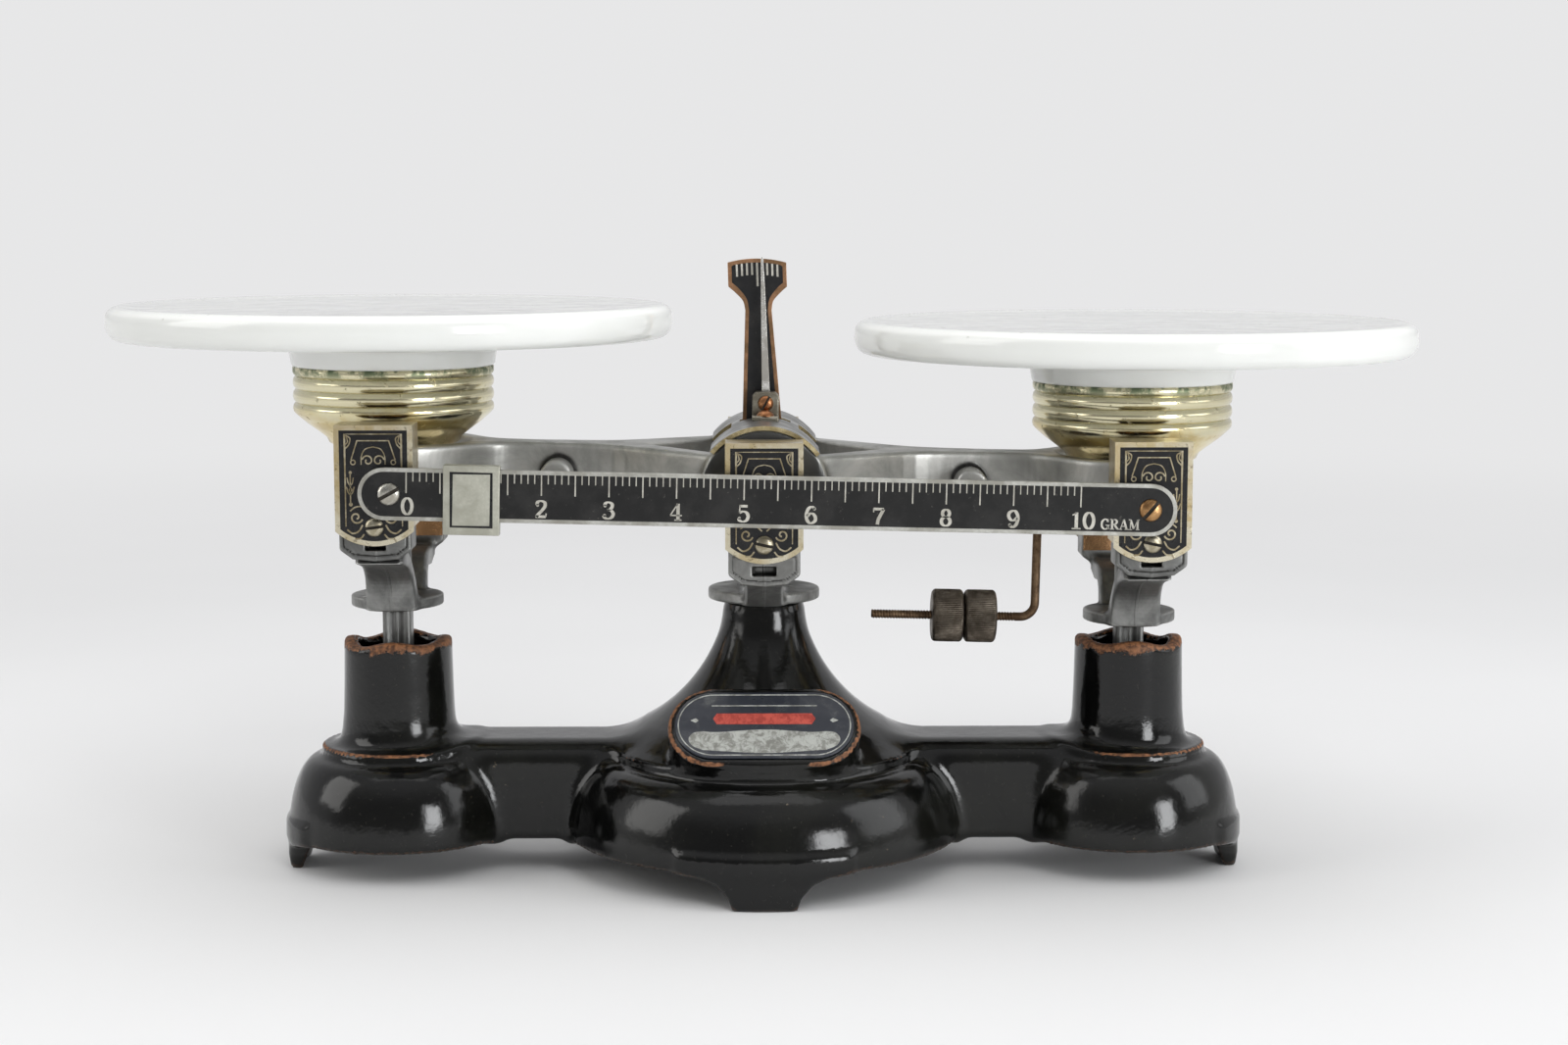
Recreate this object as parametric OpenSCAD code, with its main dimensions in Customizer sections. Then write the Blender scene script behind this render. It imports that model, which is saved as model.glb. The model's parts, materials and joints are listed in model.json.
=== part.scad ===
// Equal-arm trip balance with two glass pans, one gram beam and a rider.
// Millimetres, +Z up, +X towards the right-hand pan, the origin on the table under the fulcrum.

/* [Balance] */
// Distance from the fulcrum to the middle of each pan
arm = 101; // [98:1:104]
// Height of the three knife edges above the table, with the beam level
pivot_z = 106; // [105:0.5:107]
// Tilt of the beam as the balance stands, right end down
rest_tilt = 1.3; // [-2:0.1:2]
// Distance from the middle plane to the outer face of the bearing covers
cover_y = 42; // [41.5:0.5:43]

/* [Pans] */
// Radius of a glass pan
pan_r = 76.2; // [70:0.1:78]
// Thickness of a glass pan at its rim
pan_t = 9; // [6:0.5:10]
// Height of the top of the pans
pan_top = 153; // [150:0.5:154]
// Height of the top of the brass cups
cup_top = 136.4; // [135:0.1:137]
// Radius of a brass cup at its top
cup_r = 27.2; // [26.5:0.1:27.5]
// Thickness of the brass sheet
cup_t = 0.9; // [0.7:0.1:1.2]

/* [Beam] */
// Outer radius of the ring at each end of the beam
ring_r = 25.5; // [25:0.5:26.5]
// Inner radius of the ring at each end of the beam
ring_hole_r = 20.5; // [20:0.25:21]
// Top of the beam, above the knife edge line
beam_up = 10.5; // [9:0.5:11]
// Bottom of the beam, below the knife edge line
beam_down = 5; // [4:0.5:6]
// Radius of the two round bosses at the middle of the beam
boss_r = 17.2; // [16:0.1:18]

/* [Scale] */
// Distance between two whole grams on the scale
gram_pitch = 17.35; // [17:0.05:17.5]
// Place of the zero line, from the fulcrum
zero_x = -92; // [-92.5:0.5:-91]
// Height of the scale bar
scale_h = 13.6; // [13:0.1:14]
// Gram reading of the rider, at its left edge
rider_grams = 0.55; // [0:0.05:10]

/* [Base] */
// Height of the top of the strap that joins the two end bells
strap_top = 36; // [34:0.5:38]
// Half width of that strap
strap_half = 14; // [13:0.5:15]
// Thickness of the cast iron walls
wall = 3.5; // [3:0.5:4]
// Height of the bottom edge of the casting above the table
skirt_z = 9.5; // [8:0.5:11]
// Outer radius of the two upright tubes
tube_r = 14.7; // [14:0.1:15.5]
// Height of the rim of the tubes
tube_top = 64; // [62:0.5:65]

/* [Hidden] */

$fn = 64;
sides = [-1, 1];
eps = 0.01;

// Heights above the table, beam level
beam_top = pivot_z + beam_up;
beam_bottom = pivot_z - beam_down;
scale_z = pivot_z + 0.3;
disc_top = 73.5;
disc_bottom = 70.5;
disc_r = 12.6;
bracket_disc_r = 15.3;
bracket_top = 77.5;
bracket_bottom = 74.5;
link_z = 21;
bolt_head_r = 4;
bolt_head_h = 2.5;
index_screw_z = [82.4, 88];

// Depths, measured from the middle plane
cover_depth = 11.5;
cover_t = 0.8;
cover_w = 20.3;
ledge_out = cover_y - cover_t;
ledge_in = cover_y - cover_depth;
boss_in = 22.5;
boss_out = 29;
knife_out = 40;
bearing_in = 33;
bearing_out = 40.5;
scale_t = 1.2;
scale_y = -cover_y - 5;

// Bearing covers, heights measured from the knife edge line
cover_up = 17.5;
cover_h = 31.5;
cover_arc_r = 15.3;
cover_screw_z = -9;
cover_screw_r = 1.2;
screw_hole_r = 1.25;
// The fulcrum covers hang a little lower than those at the front of the pans
fulcrum_drop = 2.5;
// At the back of the pan carriers ledge, bearing foot and cover are lower still
back_drop = 7;

// Scale bar
scale_left = -104.5;
scale_right = 106.5;
scale_post_x = 56;
scale_post_r = 2;
scale_hole_left = -96.5;
scale_hole_right = 99.6;
scale_screw_r = 3.3;

// Counterweight rod
rod_r = 1.2;
rod_x = 75.7;
rod_z = 70.5;
rod_tip_x = 30.5;
rod_bend = 4;
nut_r = 7.3;
nut_w = 8.8;
nut_x = 51.5;
nut_gap = 0.2;

// Link inside the base
link_h = 7;
link_t = 3;
pin_r = 1.5;
run_gap = 0.05;

// Rotates what stands on the beam to the rest tilt
module on_beam() {
    translate([0, 0, pivot_z])
        rotate([0, rest_tilt, 0])
            translate([0, 0, -pivot_z])
                children();
}

// Moves what hangs from one end of the beam, which stays upright
module on_carrier(side) {
    translate([side * arm * cos(rest_tilt), 0, -side * arm * sin(rest_tilt)])
        children();
}

// Rotates the check link to the rest tilt
module on_link() {
    translate([0, 0, link_z])
        rotate([0, rest_tilt, 0])
            translate([0, 0, -link_z])
                children();
}

// Extrudes an outline drawn in X and Z, from depth y0 to depth y1
module upright(y0, y1) {
    translate([0, y1, 0])
        rotate([90, 0, 0])
            linear_extrude(y1 - y0)
                children();
}

// Extrudes an outline drawn in Y and Z, from -half to +half along X
module crosswise(half) {
    translate([-half, 0, 0])
        rotate([90, 0, 90])
            linear_extrude(2 * half)
                children();
}

// The same thing at the front and at the back
module both_faces() {
    children();
    mirror([0, 1, 0])
        children();
}

// Points of an arc
function arc(x, z, r, a0, a1, n) =
    [for (i = [0:n]) [x + r * cos(a0 + (a1 - a0) * i / n), z + r * sin(a0 + (a1 - a0) * i / n)]];

// Slotted screw head whose axis is Y, its face towards -Y
module screw_face(r, t, slot_w) {
    difference() {
        rotate([90, 0, 0])
            cylinder(r = r, h = t);
        translate([-slot_w / 2, -t - eps, -r - 1])
            cube([slot_w, t * 0.5 + eps, 2 * r + 2]);
    }
}

// ---- Base ----

// Arc of the flared middle, from the neck down to the shoulder
flare_x = 55.3;
flare_z = 80.4;
flare_r = 45.5;
neck_angle = 191.3;
foot_angle = 253.5;
shoulder_r = 42.4;
shoulder_z = 33;
skirt_r = 54.5;
bell_shoulder_r = 21;
bell_r = 30.8;
foot_w = 17;
foot_t = 5.5;
// The neck is solid above this height
neck_floor = 52;

module skirt_profile(r_top, r_low, z_top) {
    h = z_top - skirt_z;
    d = r_low - r_top;
    polygon([
        [0, z_top], [r_top, z_top], [r_top + 0.32 * d, z_top - 0.13 * h],
        [r_top + 0.62 * d, z_top - 0.35 * h], [r_top + 0.87 * d, z_top - 0.63 * h],
        [r_low, z_top - 0.9 * h], [r_low, skirt_z], [0, skirt_z]
    ]);
}

module flare_profile(inset) {
    pts = arc(flare_x, flare_z, flare_r + inset, neck_angle, foot_angle - 12, 10);
    low = shoulder_z - 4 - 2 * inset;
    polygon(concat(
        [[0, pts[0][1] - inset], [pts[0][0], pts[0][1] - inset]],
        [for (i = [1:10]) pts[i]],
        [[shoulder_r - 4.6 - inset, shoulder_z + 3.8 - inset], [shoulder_r - inset, shoulder_z + 0.6 - inset],
         [shoulder_r - inset, low], [0, low]]
    ));
}

module middle_solid() {
    rotate_extrude()
        flare_profile(0);
    cylinder(r = 10.8, h = bracket_bottom);
    rotate_extrude()
        skirt_profile(shoulder_r + 0.9, skirt_r, shoulder_z - 2.2);
}

module end_solid(side) {
    translate([side * arm, 0, 0]) {
        rotate_extrude()
            skirt_profile(bell_shoulder_r + 1, bell_r, strap_top - 4.5);
        translate([0, 0, strap_top - 6])
            cylinder(r = bell_shoulder_r, h = 5);
        cylinder(r1 = tube_r + 3.4, r2 = tube_r + 0.5, h = strap_top + 4);
        translate([0, 0, strap_top])
            cylinder(r1 = tube_r + 0.3, r2 = tube_r, h = tube_top - strap_top);
    }
}

// Foot with flared sides, drawn in X and Z
module foot_outline(w) {
    polygon([
        [-w / 2, 0], [w / 2, 0], [w / 2 + 1.5, 4], [w / 2 + 5.5, 7.5], [w / 2 + 13, skirt_z],
        [w / 2 + 13, skirt_z + 3], [-w / 2 - 13, skirt_z + 3], [-w / 2 - 13, skirt_z],
        [-w / 2 - 5.5, 7.5], [-w / 2 - 1.5, 4]
    ]);
}

module middle_foot() {
    intersection() {
        upright(-skirt_r - 3, 0)
            foot_outline(foot_w);
        difference() {
            cylinder(r = skirt_r + 1.3, h = skirt_z + 3);
            translate([0, 0, -1])
                cylinder(r = skirt_r - foot_t, h = skirt_z + 5);
        }
    }
}

module end_foot(side) {
    intersection() {
        crosswise(arm + bell_r + 3)
            foot_outline(foot_w - 3);
        translate([side * arm, 0, 0])
            difference() {
                cylinder(r = bell_r + 0.9, h = skirt_z + 3);
                translate([0, 0, -1])
                    cylinder(r = bell_r - foot_t, h = skirt_z + 5);
            }
        translate([side * (arm + bell_r) - 12, -40, 0])
            cube([24, 80, 20]);
    }
}

pad_w = 51.2;
pad_h = 24.6;
pad_y = -34.5;
pad_z = 45.6;
pad_tilt = 45;

module pad_outline(inset) {
    r = pad_h / 2 - inset;
    for (x = [-1, 1])
        translate([x * (pad_w - pad_h) / 2, 0])
            circle(r);
    square([pad_w - pad_h, 2 * r], center = true);
}

module on_pad() {
    translate([0, pad_y, pad_z])
        rotate([pad_tilt, 0, 0])
            children();
}

module base_inside() {
    // Hollow of the middle
    rotate_extrude()
        intersection() {
            flare_profile(wall);
            translate([0, -1])
                square([80, neck_floor + 1]);
        }
    translate([0, 0, -1])
        rotate_extrude()
            skirt_profile(shoulder_r + 0.9 - wall, skirt_r - wall, shoulder_z - 2.2 - wall + 1);
    translate([0, 0, -1])
        cylinder(r = skirt_r - wall, h = skirt_z + 2);
    // Hollow of each end, and the bore of its tube
    for (s = sides)
        translate([s * arm, 0, -1]) {
            cylinder(r1 = bell_r - wall, r2 = bell_shoulder_r - wall, h = strap_top - 2 * wall + 2);
            cylinder(r = 11, h = tube_top + 2);
        }
    // Channel of the strap
    translate([-arm, -strap_half + wall, -1])
        cube([2 * arm, 2 * (strap_half - wall), strap_top - wall + 1]);
}

module base_casting() {
    color("#1d2124")
        difference() {
            union() {
                difference() {
                    union() {
                        middle_solid();
                        for (s = sides)
                            end_solid(s);
                        translate([-arm, -strap_half, skirt_z])
                            cube([2 * arm, 2 * strap_half, strap_top - skirt_z]);
                        on_pad()
                            translate([0, 0, -9])
                                linear_extrude(8.2)
                                    pad_outline(0);
                    }
                    base_inside();
                }
                both_faces()
                    middle_foot();
                for (s = sides)
                    end_foot(s);
                // Lugs for the pivot of the check link
                both_faces()
                    translate([-7, -6.5, link_z - 8])
                        cube([14, 4.5, 40]);
            }
            // Screw hole and pin hole
            translate([0, 0, 20])
                cylinder(r = 2.5, h = 60);
            translate([0, 0, neck_floor - 7])
                cylinder(r = 5.5, h = 7);
            translate([0, 10, link_z])
                rotate([90, 0, 0])
                    cylinder(r = pin_r, h = 20);
        }
}

module name_plate() {
    color("#20242c")
        on_pad()
            translate([0, 0, -0.8])
                linear_extrude(0.8)
                    pad_outline(1.8);
}

module link_pin() {
    color("#8d8f91")
        translate([0, 6.9, link_z])
            rotate([90, 0, 0])
                cylinder(r = pin_r, h = 13.8);
}

// ---- Fixed fulcrum ----

// Outline of a bearing cover, drawn in X and Z about the knife edge
module cover_outline(inset, drop) {
    low = cover_up - cover_h - drop;
    intersection() {
        translate([-cover_w / 2 + inset, low])
            square([cover_w - 2 * inset, cover_h - inset]);
        union() {
            translate([0, low + cover_arc_r])
                circle(cover_arc_r);
            translate([-cover_w, low + cover_arc_r])
                square([2 * cover_w, cover_h]);
        }
    }
}

module front_cover(drop) {
    translate([0, 0, pivot_z])
        difference() {
            upright(-cover_y, -ledge_in)
                cover_outline(0, drop);
            upright(-ledge_out, 0)
                cover_outline(cover_t, drop);
            // The cover has no lip along its arc
            translate([-cover_w, -ledge_out, cover_up - cover_h - drop - 1])
                cube([2 * cover_w, cover_depth + 1, 6]);
            translate([0, -cover_y - 1, cover_screw_z - drop])
                rotate([-90, 0, 0])
                    cylinder(r = screw_hole_r, h = 4);
        }
}

module front_cover_screw(drop) {
    translate([0, -cover_y, pivot_z + cover_screw_z - drop]) {
        screw_face(2.5, 1.1, 0.7);
        rotate([-90, 0, 0])
            cylinder(r = cover_screw_r, h = 6);
    }
}

// Ledge that holds a bearing and carries its cover, from the bottom up
module ledge(z_low, z_high, notch) {
    difference() {
        upright(-ledge_out, -ledge_in)
            polygon([
                [-9.3, z_high], [-9.3, z_high - 4.7], [-9.7, z_high - 4.7], [-9.7, z_low + 3.2],
                [-6, z_low + 0.6], [0, z_low], [6, z_low + 0.6], [9.7, z_low + 3.2],
                [9.7, z_high - 4.7], [9.3, z_high - 4.7], [9.3, z_high]
            ]);
        translate([-notch / 2, -ledge_out - eps, z_low + 3])
            cube([notch, 4, 2.4]);
        translate([0, -ledge_out - 1, z_high - 4.5])
            rotate([-90, 0, 0])
                cylinder(r = screw_hole_r, h = 7);
    }
}

module bracket_arm() {
    crosswise(5.3)
        polygon([
            [-ledge_out + 3, 83.4], [-36, 82.5], [-bracket_disc_r, bracket_bottom], [0, bracket_bottom],
            [0, bracket_top], [-12, bracket_top + 1.5], [-29, 85], [-ledge_in, 87]
        ]);
}

module fulcrum_bracket() {
    color("#7d8081")
        difference() {
            union() {
                translate([0, 0, bracket_bottom])
                    cylinder(r = bracket_disc_r, h = bracket_top - bracket_bottom);
                both_faces() {
                    bracket_arm();
                    ledge(83.2, pivot_z + cover_screw_z - fulcrum_drop + 4.5, 6.3);
                }
                // Post for the index plate
                translate([-6, 2.2, bracket_top - 1])
                    cube([12, 4, 14]);
            }
            translate([0, 0, 60])
                cylinder(r = 2.5, h = 60);
            // Room for the head of the bolt
            translate([0, 0, bracket_top])
                cylinder(r = bolt_head_r + 0.1, h = bolt_head_h + 0.1);
            for (z = index_screw_z)
                translate([0, 7, z])
                    rotate([90, 0, 0])
                        cylinder(r = 1.1, h = 8);
        }
}

module fulcrum_bolt() {
    color("#6f7072") {
        translate([0, 0, neck_floor - 4])
            cylinder(r = 2.5, h = bracket_top - neck_floor + 5);
        translate([0, 0, neck_floor - 4])
            cylinder(r = 4.6, h = 4, $fn = 6);
        translate([0, 0, bracket_top])
            cylinder(r = bolt_head_r, h = bolt_head_h);
    }
}

// Bearing block with an upward vee under the knife edge
module fulcrum_bearings() {
    color("#55585c")
        both_faces()
            upright(-bearing_out, -bearing_in)
                difference() {
                    translate([-5, pivot_z + cover_screw_z - fulcrum_drop + 4.5])
                        square([10, 8.8]);
                    polygon([[0, pivot_z - run_gap], [5.1, pivot_z + 2.9], [-5.1, pivot_z + 2.9]]);
                }
}

module fulcrum_covers() {
    color("#2a2926")
        both_faces()
            front_cover(fulcrum_drop);
}

module fulcrum_cover_screws() {
    color("#b9ab80")
        both_faces()
            front_cover_screw(fulcrum_drop);
}

index_y = 1;
index_t = 1.2;
index_top = 167.5;
// Above this height the plate leans to the left, by this much per millimetre
lean_from = 110;
index_lean = 0.032;

function leaned(p) = [p[0] - index_lean * max(0, p[1] - lean_from), p[1]];

module index_plate() {
    color("#3a2b25")
        difference() {
            upright(index_y, index_y + index_t)
                union() {
                    polygon([
                        for (p = [
                            [-5.3, 80.2], [5.3, 80.2], [5.3, lean_from], [5.3, 124], [3.6, 153.5],
                            [4.3, 156.2], [6.2, 158.4], [8, 159.8], [8, 166.4], [-8, 166.4],
                            [-8, 159.8], [-6.2, 158.4], [-4.3, 156.2], [-3.6, 153.5], [-5.3, 124],
                            [-5.3, lean_from]
                        ])
                            leaned(p)
                    ]);
                    translate([leaned([0, 166.4])[0], 0])
                        intersection() {
                            translate([0, index_top - 30])
                                circle(30);
                            translate([-8, 165])
                                square([16, 4]);
                        }
                }
            for (z = index_screw_z)
                translate([0, 7, z])
                    rotate([90, 0, 0])
                        cylinder(r = 1.1, h = 8);
        }
}

module index_screws() {
    color("#a9743f")
        for (z = index_screw_z)
            translate([0, index_y, z]) {
                screw_face(2, 1, 0.6);
                rotate([-90, 0, 0])
                    cylinder(r = 1.1, h = 5);
            }
}

// ---- Beam ----

split_x = 38;
arm_half = 5.5;
// The ring at each end is open beyond this distance from its middle
fork_out = 8.5;
// Flat underside of the bosses, below the knife edge line
boss_flat = 6.5;

// Half of the outline seen from above, for X above zero
module beam_plan() {
    intersection() {
        translate([arm, 0])
            circle(ring_r);
        translate([arm + fork_out - 2 * ring_r, -ring_r])
            square(2 * ring_r);
    }
    polygon([
        [0, boss_out - 0.5], [14, boss_out - 0.5], [split_x + 3, arm_half + 1.5], [66, arm_half],
        [arm - ring_r + 3, arm_half + 4.5], [arm - ring_r + 3, -arm_half - 4.5], [66, -arm_half],
        [split_x + 3, -arm_half - 1.5], [14, 0.5 - boss_out],
        [0, 0.5 - boss_out]
    ]);
}

module beam_casting() {
    color("#8b8f8f")
        on_beam()
            difference() {
                union() {
                    translate([0, 0, beam_bottom])
                        linear_extrude(beam_top - beam_bottom)
                            difference() {
                                union() {
                                    beam_plan();
                                    mirror([1, 0])
                                        beam_plan();
                                }
                                polygon([
                                    [-33, 0], [-12, boss_in + 0.5], [12, boss_in + 0.5], [33, 0],
                                    [12, -boss_in - 0.5], [-12, -boss_in - 0.5]
                                ]);
                                for (s = sides)
                                    translate([s * arm, 0])
                                        circle(ring_hole_r);
                            }
                    // Round bosses, flat underneath
                    both_faces()
                        translate([0, 0, pivot_z])
                            upright(-boss_out, -boss_in)
                                intersection() {
                                    circle(boss_r);
                                    translate([-boss_r, -boss_flat])
                                        square([2 * boss_r, 2 * boss_r]);
                                }
                    // Bosses for the scale posts
                    for (s = sides)
                        translate([s * scale_post_x, 0, scale_z + 1.9])
                            rotate([90, 0, 0])
                                cylinder(r = 4.4, h = 16);
                }
                // Holes of the knives, the posts and the rod
                both_faces() {
                    upright(-boss_out - 1, -boss_in + 1)
                        centre_knife_outline();
                    for (s = sides)
                        translate([s * arm, 0, 0])
                            upright(-ring_r - 1, -ring_hole_r + 2)
                                end_knife_outline();
                }
                for (s = sides)
                    translate([s * scale_post_x, -8, scale_z])
                        rotate([90, 0, 0])
                            cylinder(r = scale_post_r, h = 20);
                translate([rod_x, 0, beam_bottom - 1])
                    cylinder(r = rod_r, h = 9);
            }
}

module centre_knife_outline() {
    polygon([[0, pivot_z], [2.9, pivot_z + 5.8], [0, pivot_z + 7.2], [-2.9, pivot_z + 5.8]]);
}

module end_knife_outline() {
    polygon([[0, pivot_z], [2.6, pivot_z - 4.6], [-2.6, pivot_z - 4.6]]);
}

module centre_knives() {
    color("#c2c5c8")
        on_beam()
            both_faces()
                upright(-knife_out, -boss_in)
                    centre_knife_outline();
}

module end_knives() {
    color("#c2c5c8")
        on_beam()
            for (s = sides)
                translate([s * arm, 0, 0])
                    both_faces()
                        upright(-knife_out, -ring_hole_r - 1.5)
                            end_knife_outline();
}

saddle_t = 1.2;
saddle_half = 29.5;
saddle_angle = 52;

module saddle() {
    x_end = (boss_r + saddle_t) * sin(saddle_angle);
    color("#a9adab")
        on_beam()
            difference() {
                translate([0, 0, pivot_z])
                    upright(-saddle_half, saddle_half)
                        difference() {
                            circle(boss_r + saddle_t);
                            circle(boss_r);
                            translate([-30, -60])
                                square([60, 60 + boss_r * cos(saddle_angle)]);
                        }
                // Window that clears the index plate
                translate([-7, -0.5, pivot_z])
                    cube([14, 5, 30]);
                // Slots open at the sides
                for (s = sides)
                    translate([s * (x_end - 0.8) - 4.5, -8, pivot_z])
                        cube([9, 14.5, 30]);
                translate([0, -9.5, pivot_z])
                    cylinder(r = 1.1, h = 30);
            }
}

block_w = 7.2;
block_front = -6.8;
block_back = -1.6;
block_top = 131.6;
pointer_y = -2.6;
pointer_t = 0.8;
pointer_screw_z = 128.6;
// The needle is set over by this much at its tip, so that it meets the middle mark when the beam is level
needle_set = 1.8;

module pointer_block() {
    color("#8d8a80")
        on_beam()
            difference() {
                union() {
                    translate([-block_w / 2, block_front, pivot_z + boss_r])
                        cube([block_w, block_back - block_front, block_top - pivot_z - boss_r]);
                    translate([-block_w / 2, -12, pivot_z + boss_r])
                        cube([block_w, 8, saddle_t + 1.1]);
                }
                translate([0, 0, pivot_z])
                    upright(-20, 5)
                        circle(boss_r + saddle_t);
                translate([-1.1, pointer_y, 125.8])
                    cube([2.2, pointer_t, 10]);
                translate([0, block_back - 1, pointer_screw_z])
                    rotate([90, 0, 0])
                        cylinder(r = 1.1, h = 10);
                translate([0, -9.5, pivot_z])
                    cylinder(r = 1.1, h = 30);
            }
}

module pointer_block_screw() {
    z = pivot_z + boss_r + saddle_t + 1.1;
    color("#b4713f")
        on_beam()
            translate([0, -9.5, 0]) {
                translate([0, 0, z])
                    cylinder(r1 = 2.3, r2 = 1.3, h = 1.1);
                translate([0, 0, z - 3.5])
                    cylinder(r = 1.1, h = 3.6);
            }
}

module pointer() {
    color("#b8bbbd")
        on_beam()
            upright(pointer_y, pointer_y + pointer_t)
                polygon([
                    [-1.1, 125.8], [1.1, 125.8], [1.1, 131.8], [0.3 - needle_set, 168],
                    [-0.3 - needle_set, 168], [-1.1, 131.8]
                ]);
}

module pointer_screw() {
    color("#b4713f")
        on_beam()
            translate([0, block_front, pointer_screw_z]) {
                screw_face(2.1, 1, 0.7);
                rotate([-90, 0, 0])
                    cylinder(r = 1.1, h = pointer_y - block_front);
            }
}

module scale_bar() {
    color("#26282b")
        on_beam()
            upright(scale_y, scale_y + scale_t)
                difference() {
                    union() {
                        translate([scale_left + scale_h / 2, scale_z - scale_h / 2])
                            square([scale_right - scale_left - scale_h, scale_h]);
                        for (x = [scale_left + scale_h / 2, scale_right - scale_h / 2])
                            translate([x, scale_z])
                                circle(scale_h / 2);
                    }
                    for (x = [scale_hole_left, scale_hole_right])
                        translate([x, scale_z])
                            circle(1.6);
                }
}

module scale_posts() {
    color("#8b8f8f")
        on_beam()
            for (s = sides)
                translate([s * scale_post_x, -8, scale_z])
                    rotate([90, 0, 0])
                        cylinder(r = scale_post_r, h = -8 - scale_y - scale_t);
}

module scale_end_screw(x) {
    on_beam()
        translate([x, scale_y, scale_z]) {
            screw_face(scale_screw_r, 1.1, 0.8);
            rotate([-90, 0, 0])
                cylinder(r = 1.6, h = scale_t);
            translate([0, scale_t + 1, 0])
                rotate([90, 0, 0])
                    cylinder(r = 2.6, h = 1);
        }
}

module scale_screw_left() {
    color("#b9b6aa")
        scale_end_screw(scale_hole_left);
}

module scale_screw_right() {
    color("#b08a4a")
        scale_end_screw(scale_hole_right);
}

module counterweight_rod() {
    color("#6b5f4d")
        on_beam() {
            translate([rod_x, 0, rod_z + rod_bend])
                cylinder(r = rod_r, h = beam_bottom + 8 - rod_z - rod_bend);
            translate([rod_x - rod_bend, 0, rod_z + rod_bend])
                rotate([90, 0, 0])
                    rotate_extrude(angle = -90)
                        translate([rod_bend, 0])
                            circle(rod_r);
            translate([rod_tip_x, 0, rod_z])
                rotate([0, 90, 0])
                    cylinder(r = rod_r, h = rod_x - rod_bend - rod_tip_x);
        }
}

module nut(x) {
    on_beam()
        translate([x, 0, rod_z])
            rotate([0, 90, 0])
                difference() {
                    union() {
                        cylinder(r1 = nut_r - 0.8, r2 = nut_r, h = 0.8);
                        translate([0, 0, 0.8])
                            cylinder(r = nut_r, h = nut_w - 1.6);
                        translate([0, 0, nut_w - 0.8])
                            cylinder(r1 = nut_r, r2 = nut_r - 0.8, h = 0.8);
                    }
                    translate([0, 0, -1])
                        cylinder(r = rod_r + run_gap, h = nut_w + 2);
                }
}

module zero_nut() {
    color("#6d675c")
        nut(nut_x - nut_w / 2);
}

module lock_nut() {
    color("#6d675c")
        nut(nut_x + nut_w / 2 + nut_gap);
}

rider_w = 14.5;
rider_t = 0.9;
rider_gap = 0.2;
rider_drop = 3.3;
rider_lip = 3;

module rider() {
    x = zero_x + rider_grams * gram_pitch;
    low = scale_z - scale_h / 2;
    color("#a5a99a")
        on_beam()
            translate([x, scale_y - rider_gap - rider_t, low - rider_drop])
                difference() {
                    cube([rider_w, scale_t + 2 * (rider_gap + rider_t), rider_drop + scale_h + rider_gap + rider_t]);
                    translate([-1, rider_t, rider_drop - rider_gap])
                        cube([rider_w + 2, scale_t + 2 * rider_gap, scale_h + 2 * rider_gap]);
                    // Open at the back, so that it passes the posts of the bar
                    translate([-1, rider_t + 0.5, rider_drop + rider_lip])
                        cube([rider_w + 2, 4, scale_h - 2 * rider_lip]);
                }
}

// ---- Pan carriers ----

stem_w = 7.8;
stem_d = 7;
post_r = 4;
post_top = 115.2;
post_flange_r = 9;

module carrier_arm(drop) {
    crosswise(6.3)
        polygon([
            [-13.4, disc_bottom], [-14.5, 76 - drop * 0.2], [-19, 81.5 - drop * 0.7], [-27, 84.6 - drop],
            [-ledge_in - 6, 86.5 - drop], [-ledge_in, 90 - drop], [-ledge_in + 1, 92 - drop],
            [-25.5, 89 - drop * 0.95], [-17, 85.4 - drop * 0.7], [-10, 78 - drop * 0.2], [-6, disc_top],
            [-6, disc_bottom]
        ]);
}

// Ledge with its arm, at the front; the one at the back hangs lower
module carrier_side(drop) {
    carrier_arm(drop);
    ledge(87.8 - drop, pivot_z + cover_screw_z + 4.5 - drop, 5.4);
}

// A front piece turned over to the back
module back_face() {
    mirror([0, 1, 0])
        children();
}

module carrier(side) {
    slot_t = link_t + 0.6;
    ledge_high = pivot_z + cover_screw_z + 4.5;
    color("#878a8a")
        on_carrier(side)
            difference() {
                union() {
                    translate([0, 0, disc_bottom])
                        cylinder(r = disc_r, h = disc_top - disc_bottom);
                    carrier_side(0);
                    back_face()
                        carrier_side(back_drop);
                    translate([0, 0, disc_bottom])
                        cylinder(r = post_r, h = post_top - disc_bottom);
                    translate([0, 0, post_top - 2.5])
                        cylinder(r = post_flange_r, h = 2.5);
                    translate([-stem_w / 2, -stem_d / 2, link_z - 4.5])
                        cube([stem_w, stem_d, disc_bottom - link_z + 5]);
                }
                // Grooves along the stem
                both_faces()
                    translate([-1.1, -stem_d / 2 - 1, link_z + 12])
                        cube([2.2, 1.8, disc_bottom - link_z - 12 - eps]);
                // Room under the knife edge at the front
                translate([-4, -ledge_out - 1, ledge_high - 1.5])
                    cube([8, cover_depth + 2, 3]);
                // Fork for the end of the check link
                translate([-stem_w, -slot_t / 2, link_z - 5])
                    cube([2 * stem_w, slot_t, 13]);
                translate([0, 10, link_z])
                    rotate([90, 0, 0])
                        cylinder(r = pin_r + 0.3, h = 20);
                translate([0, 0, post_top - 8])
                    cylinder(r = 1.5, h = 20);
            }
}

module carrier_left() {
    carrier(-1);
}

module carrier_right() {
    carrier(1);
}

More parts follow.
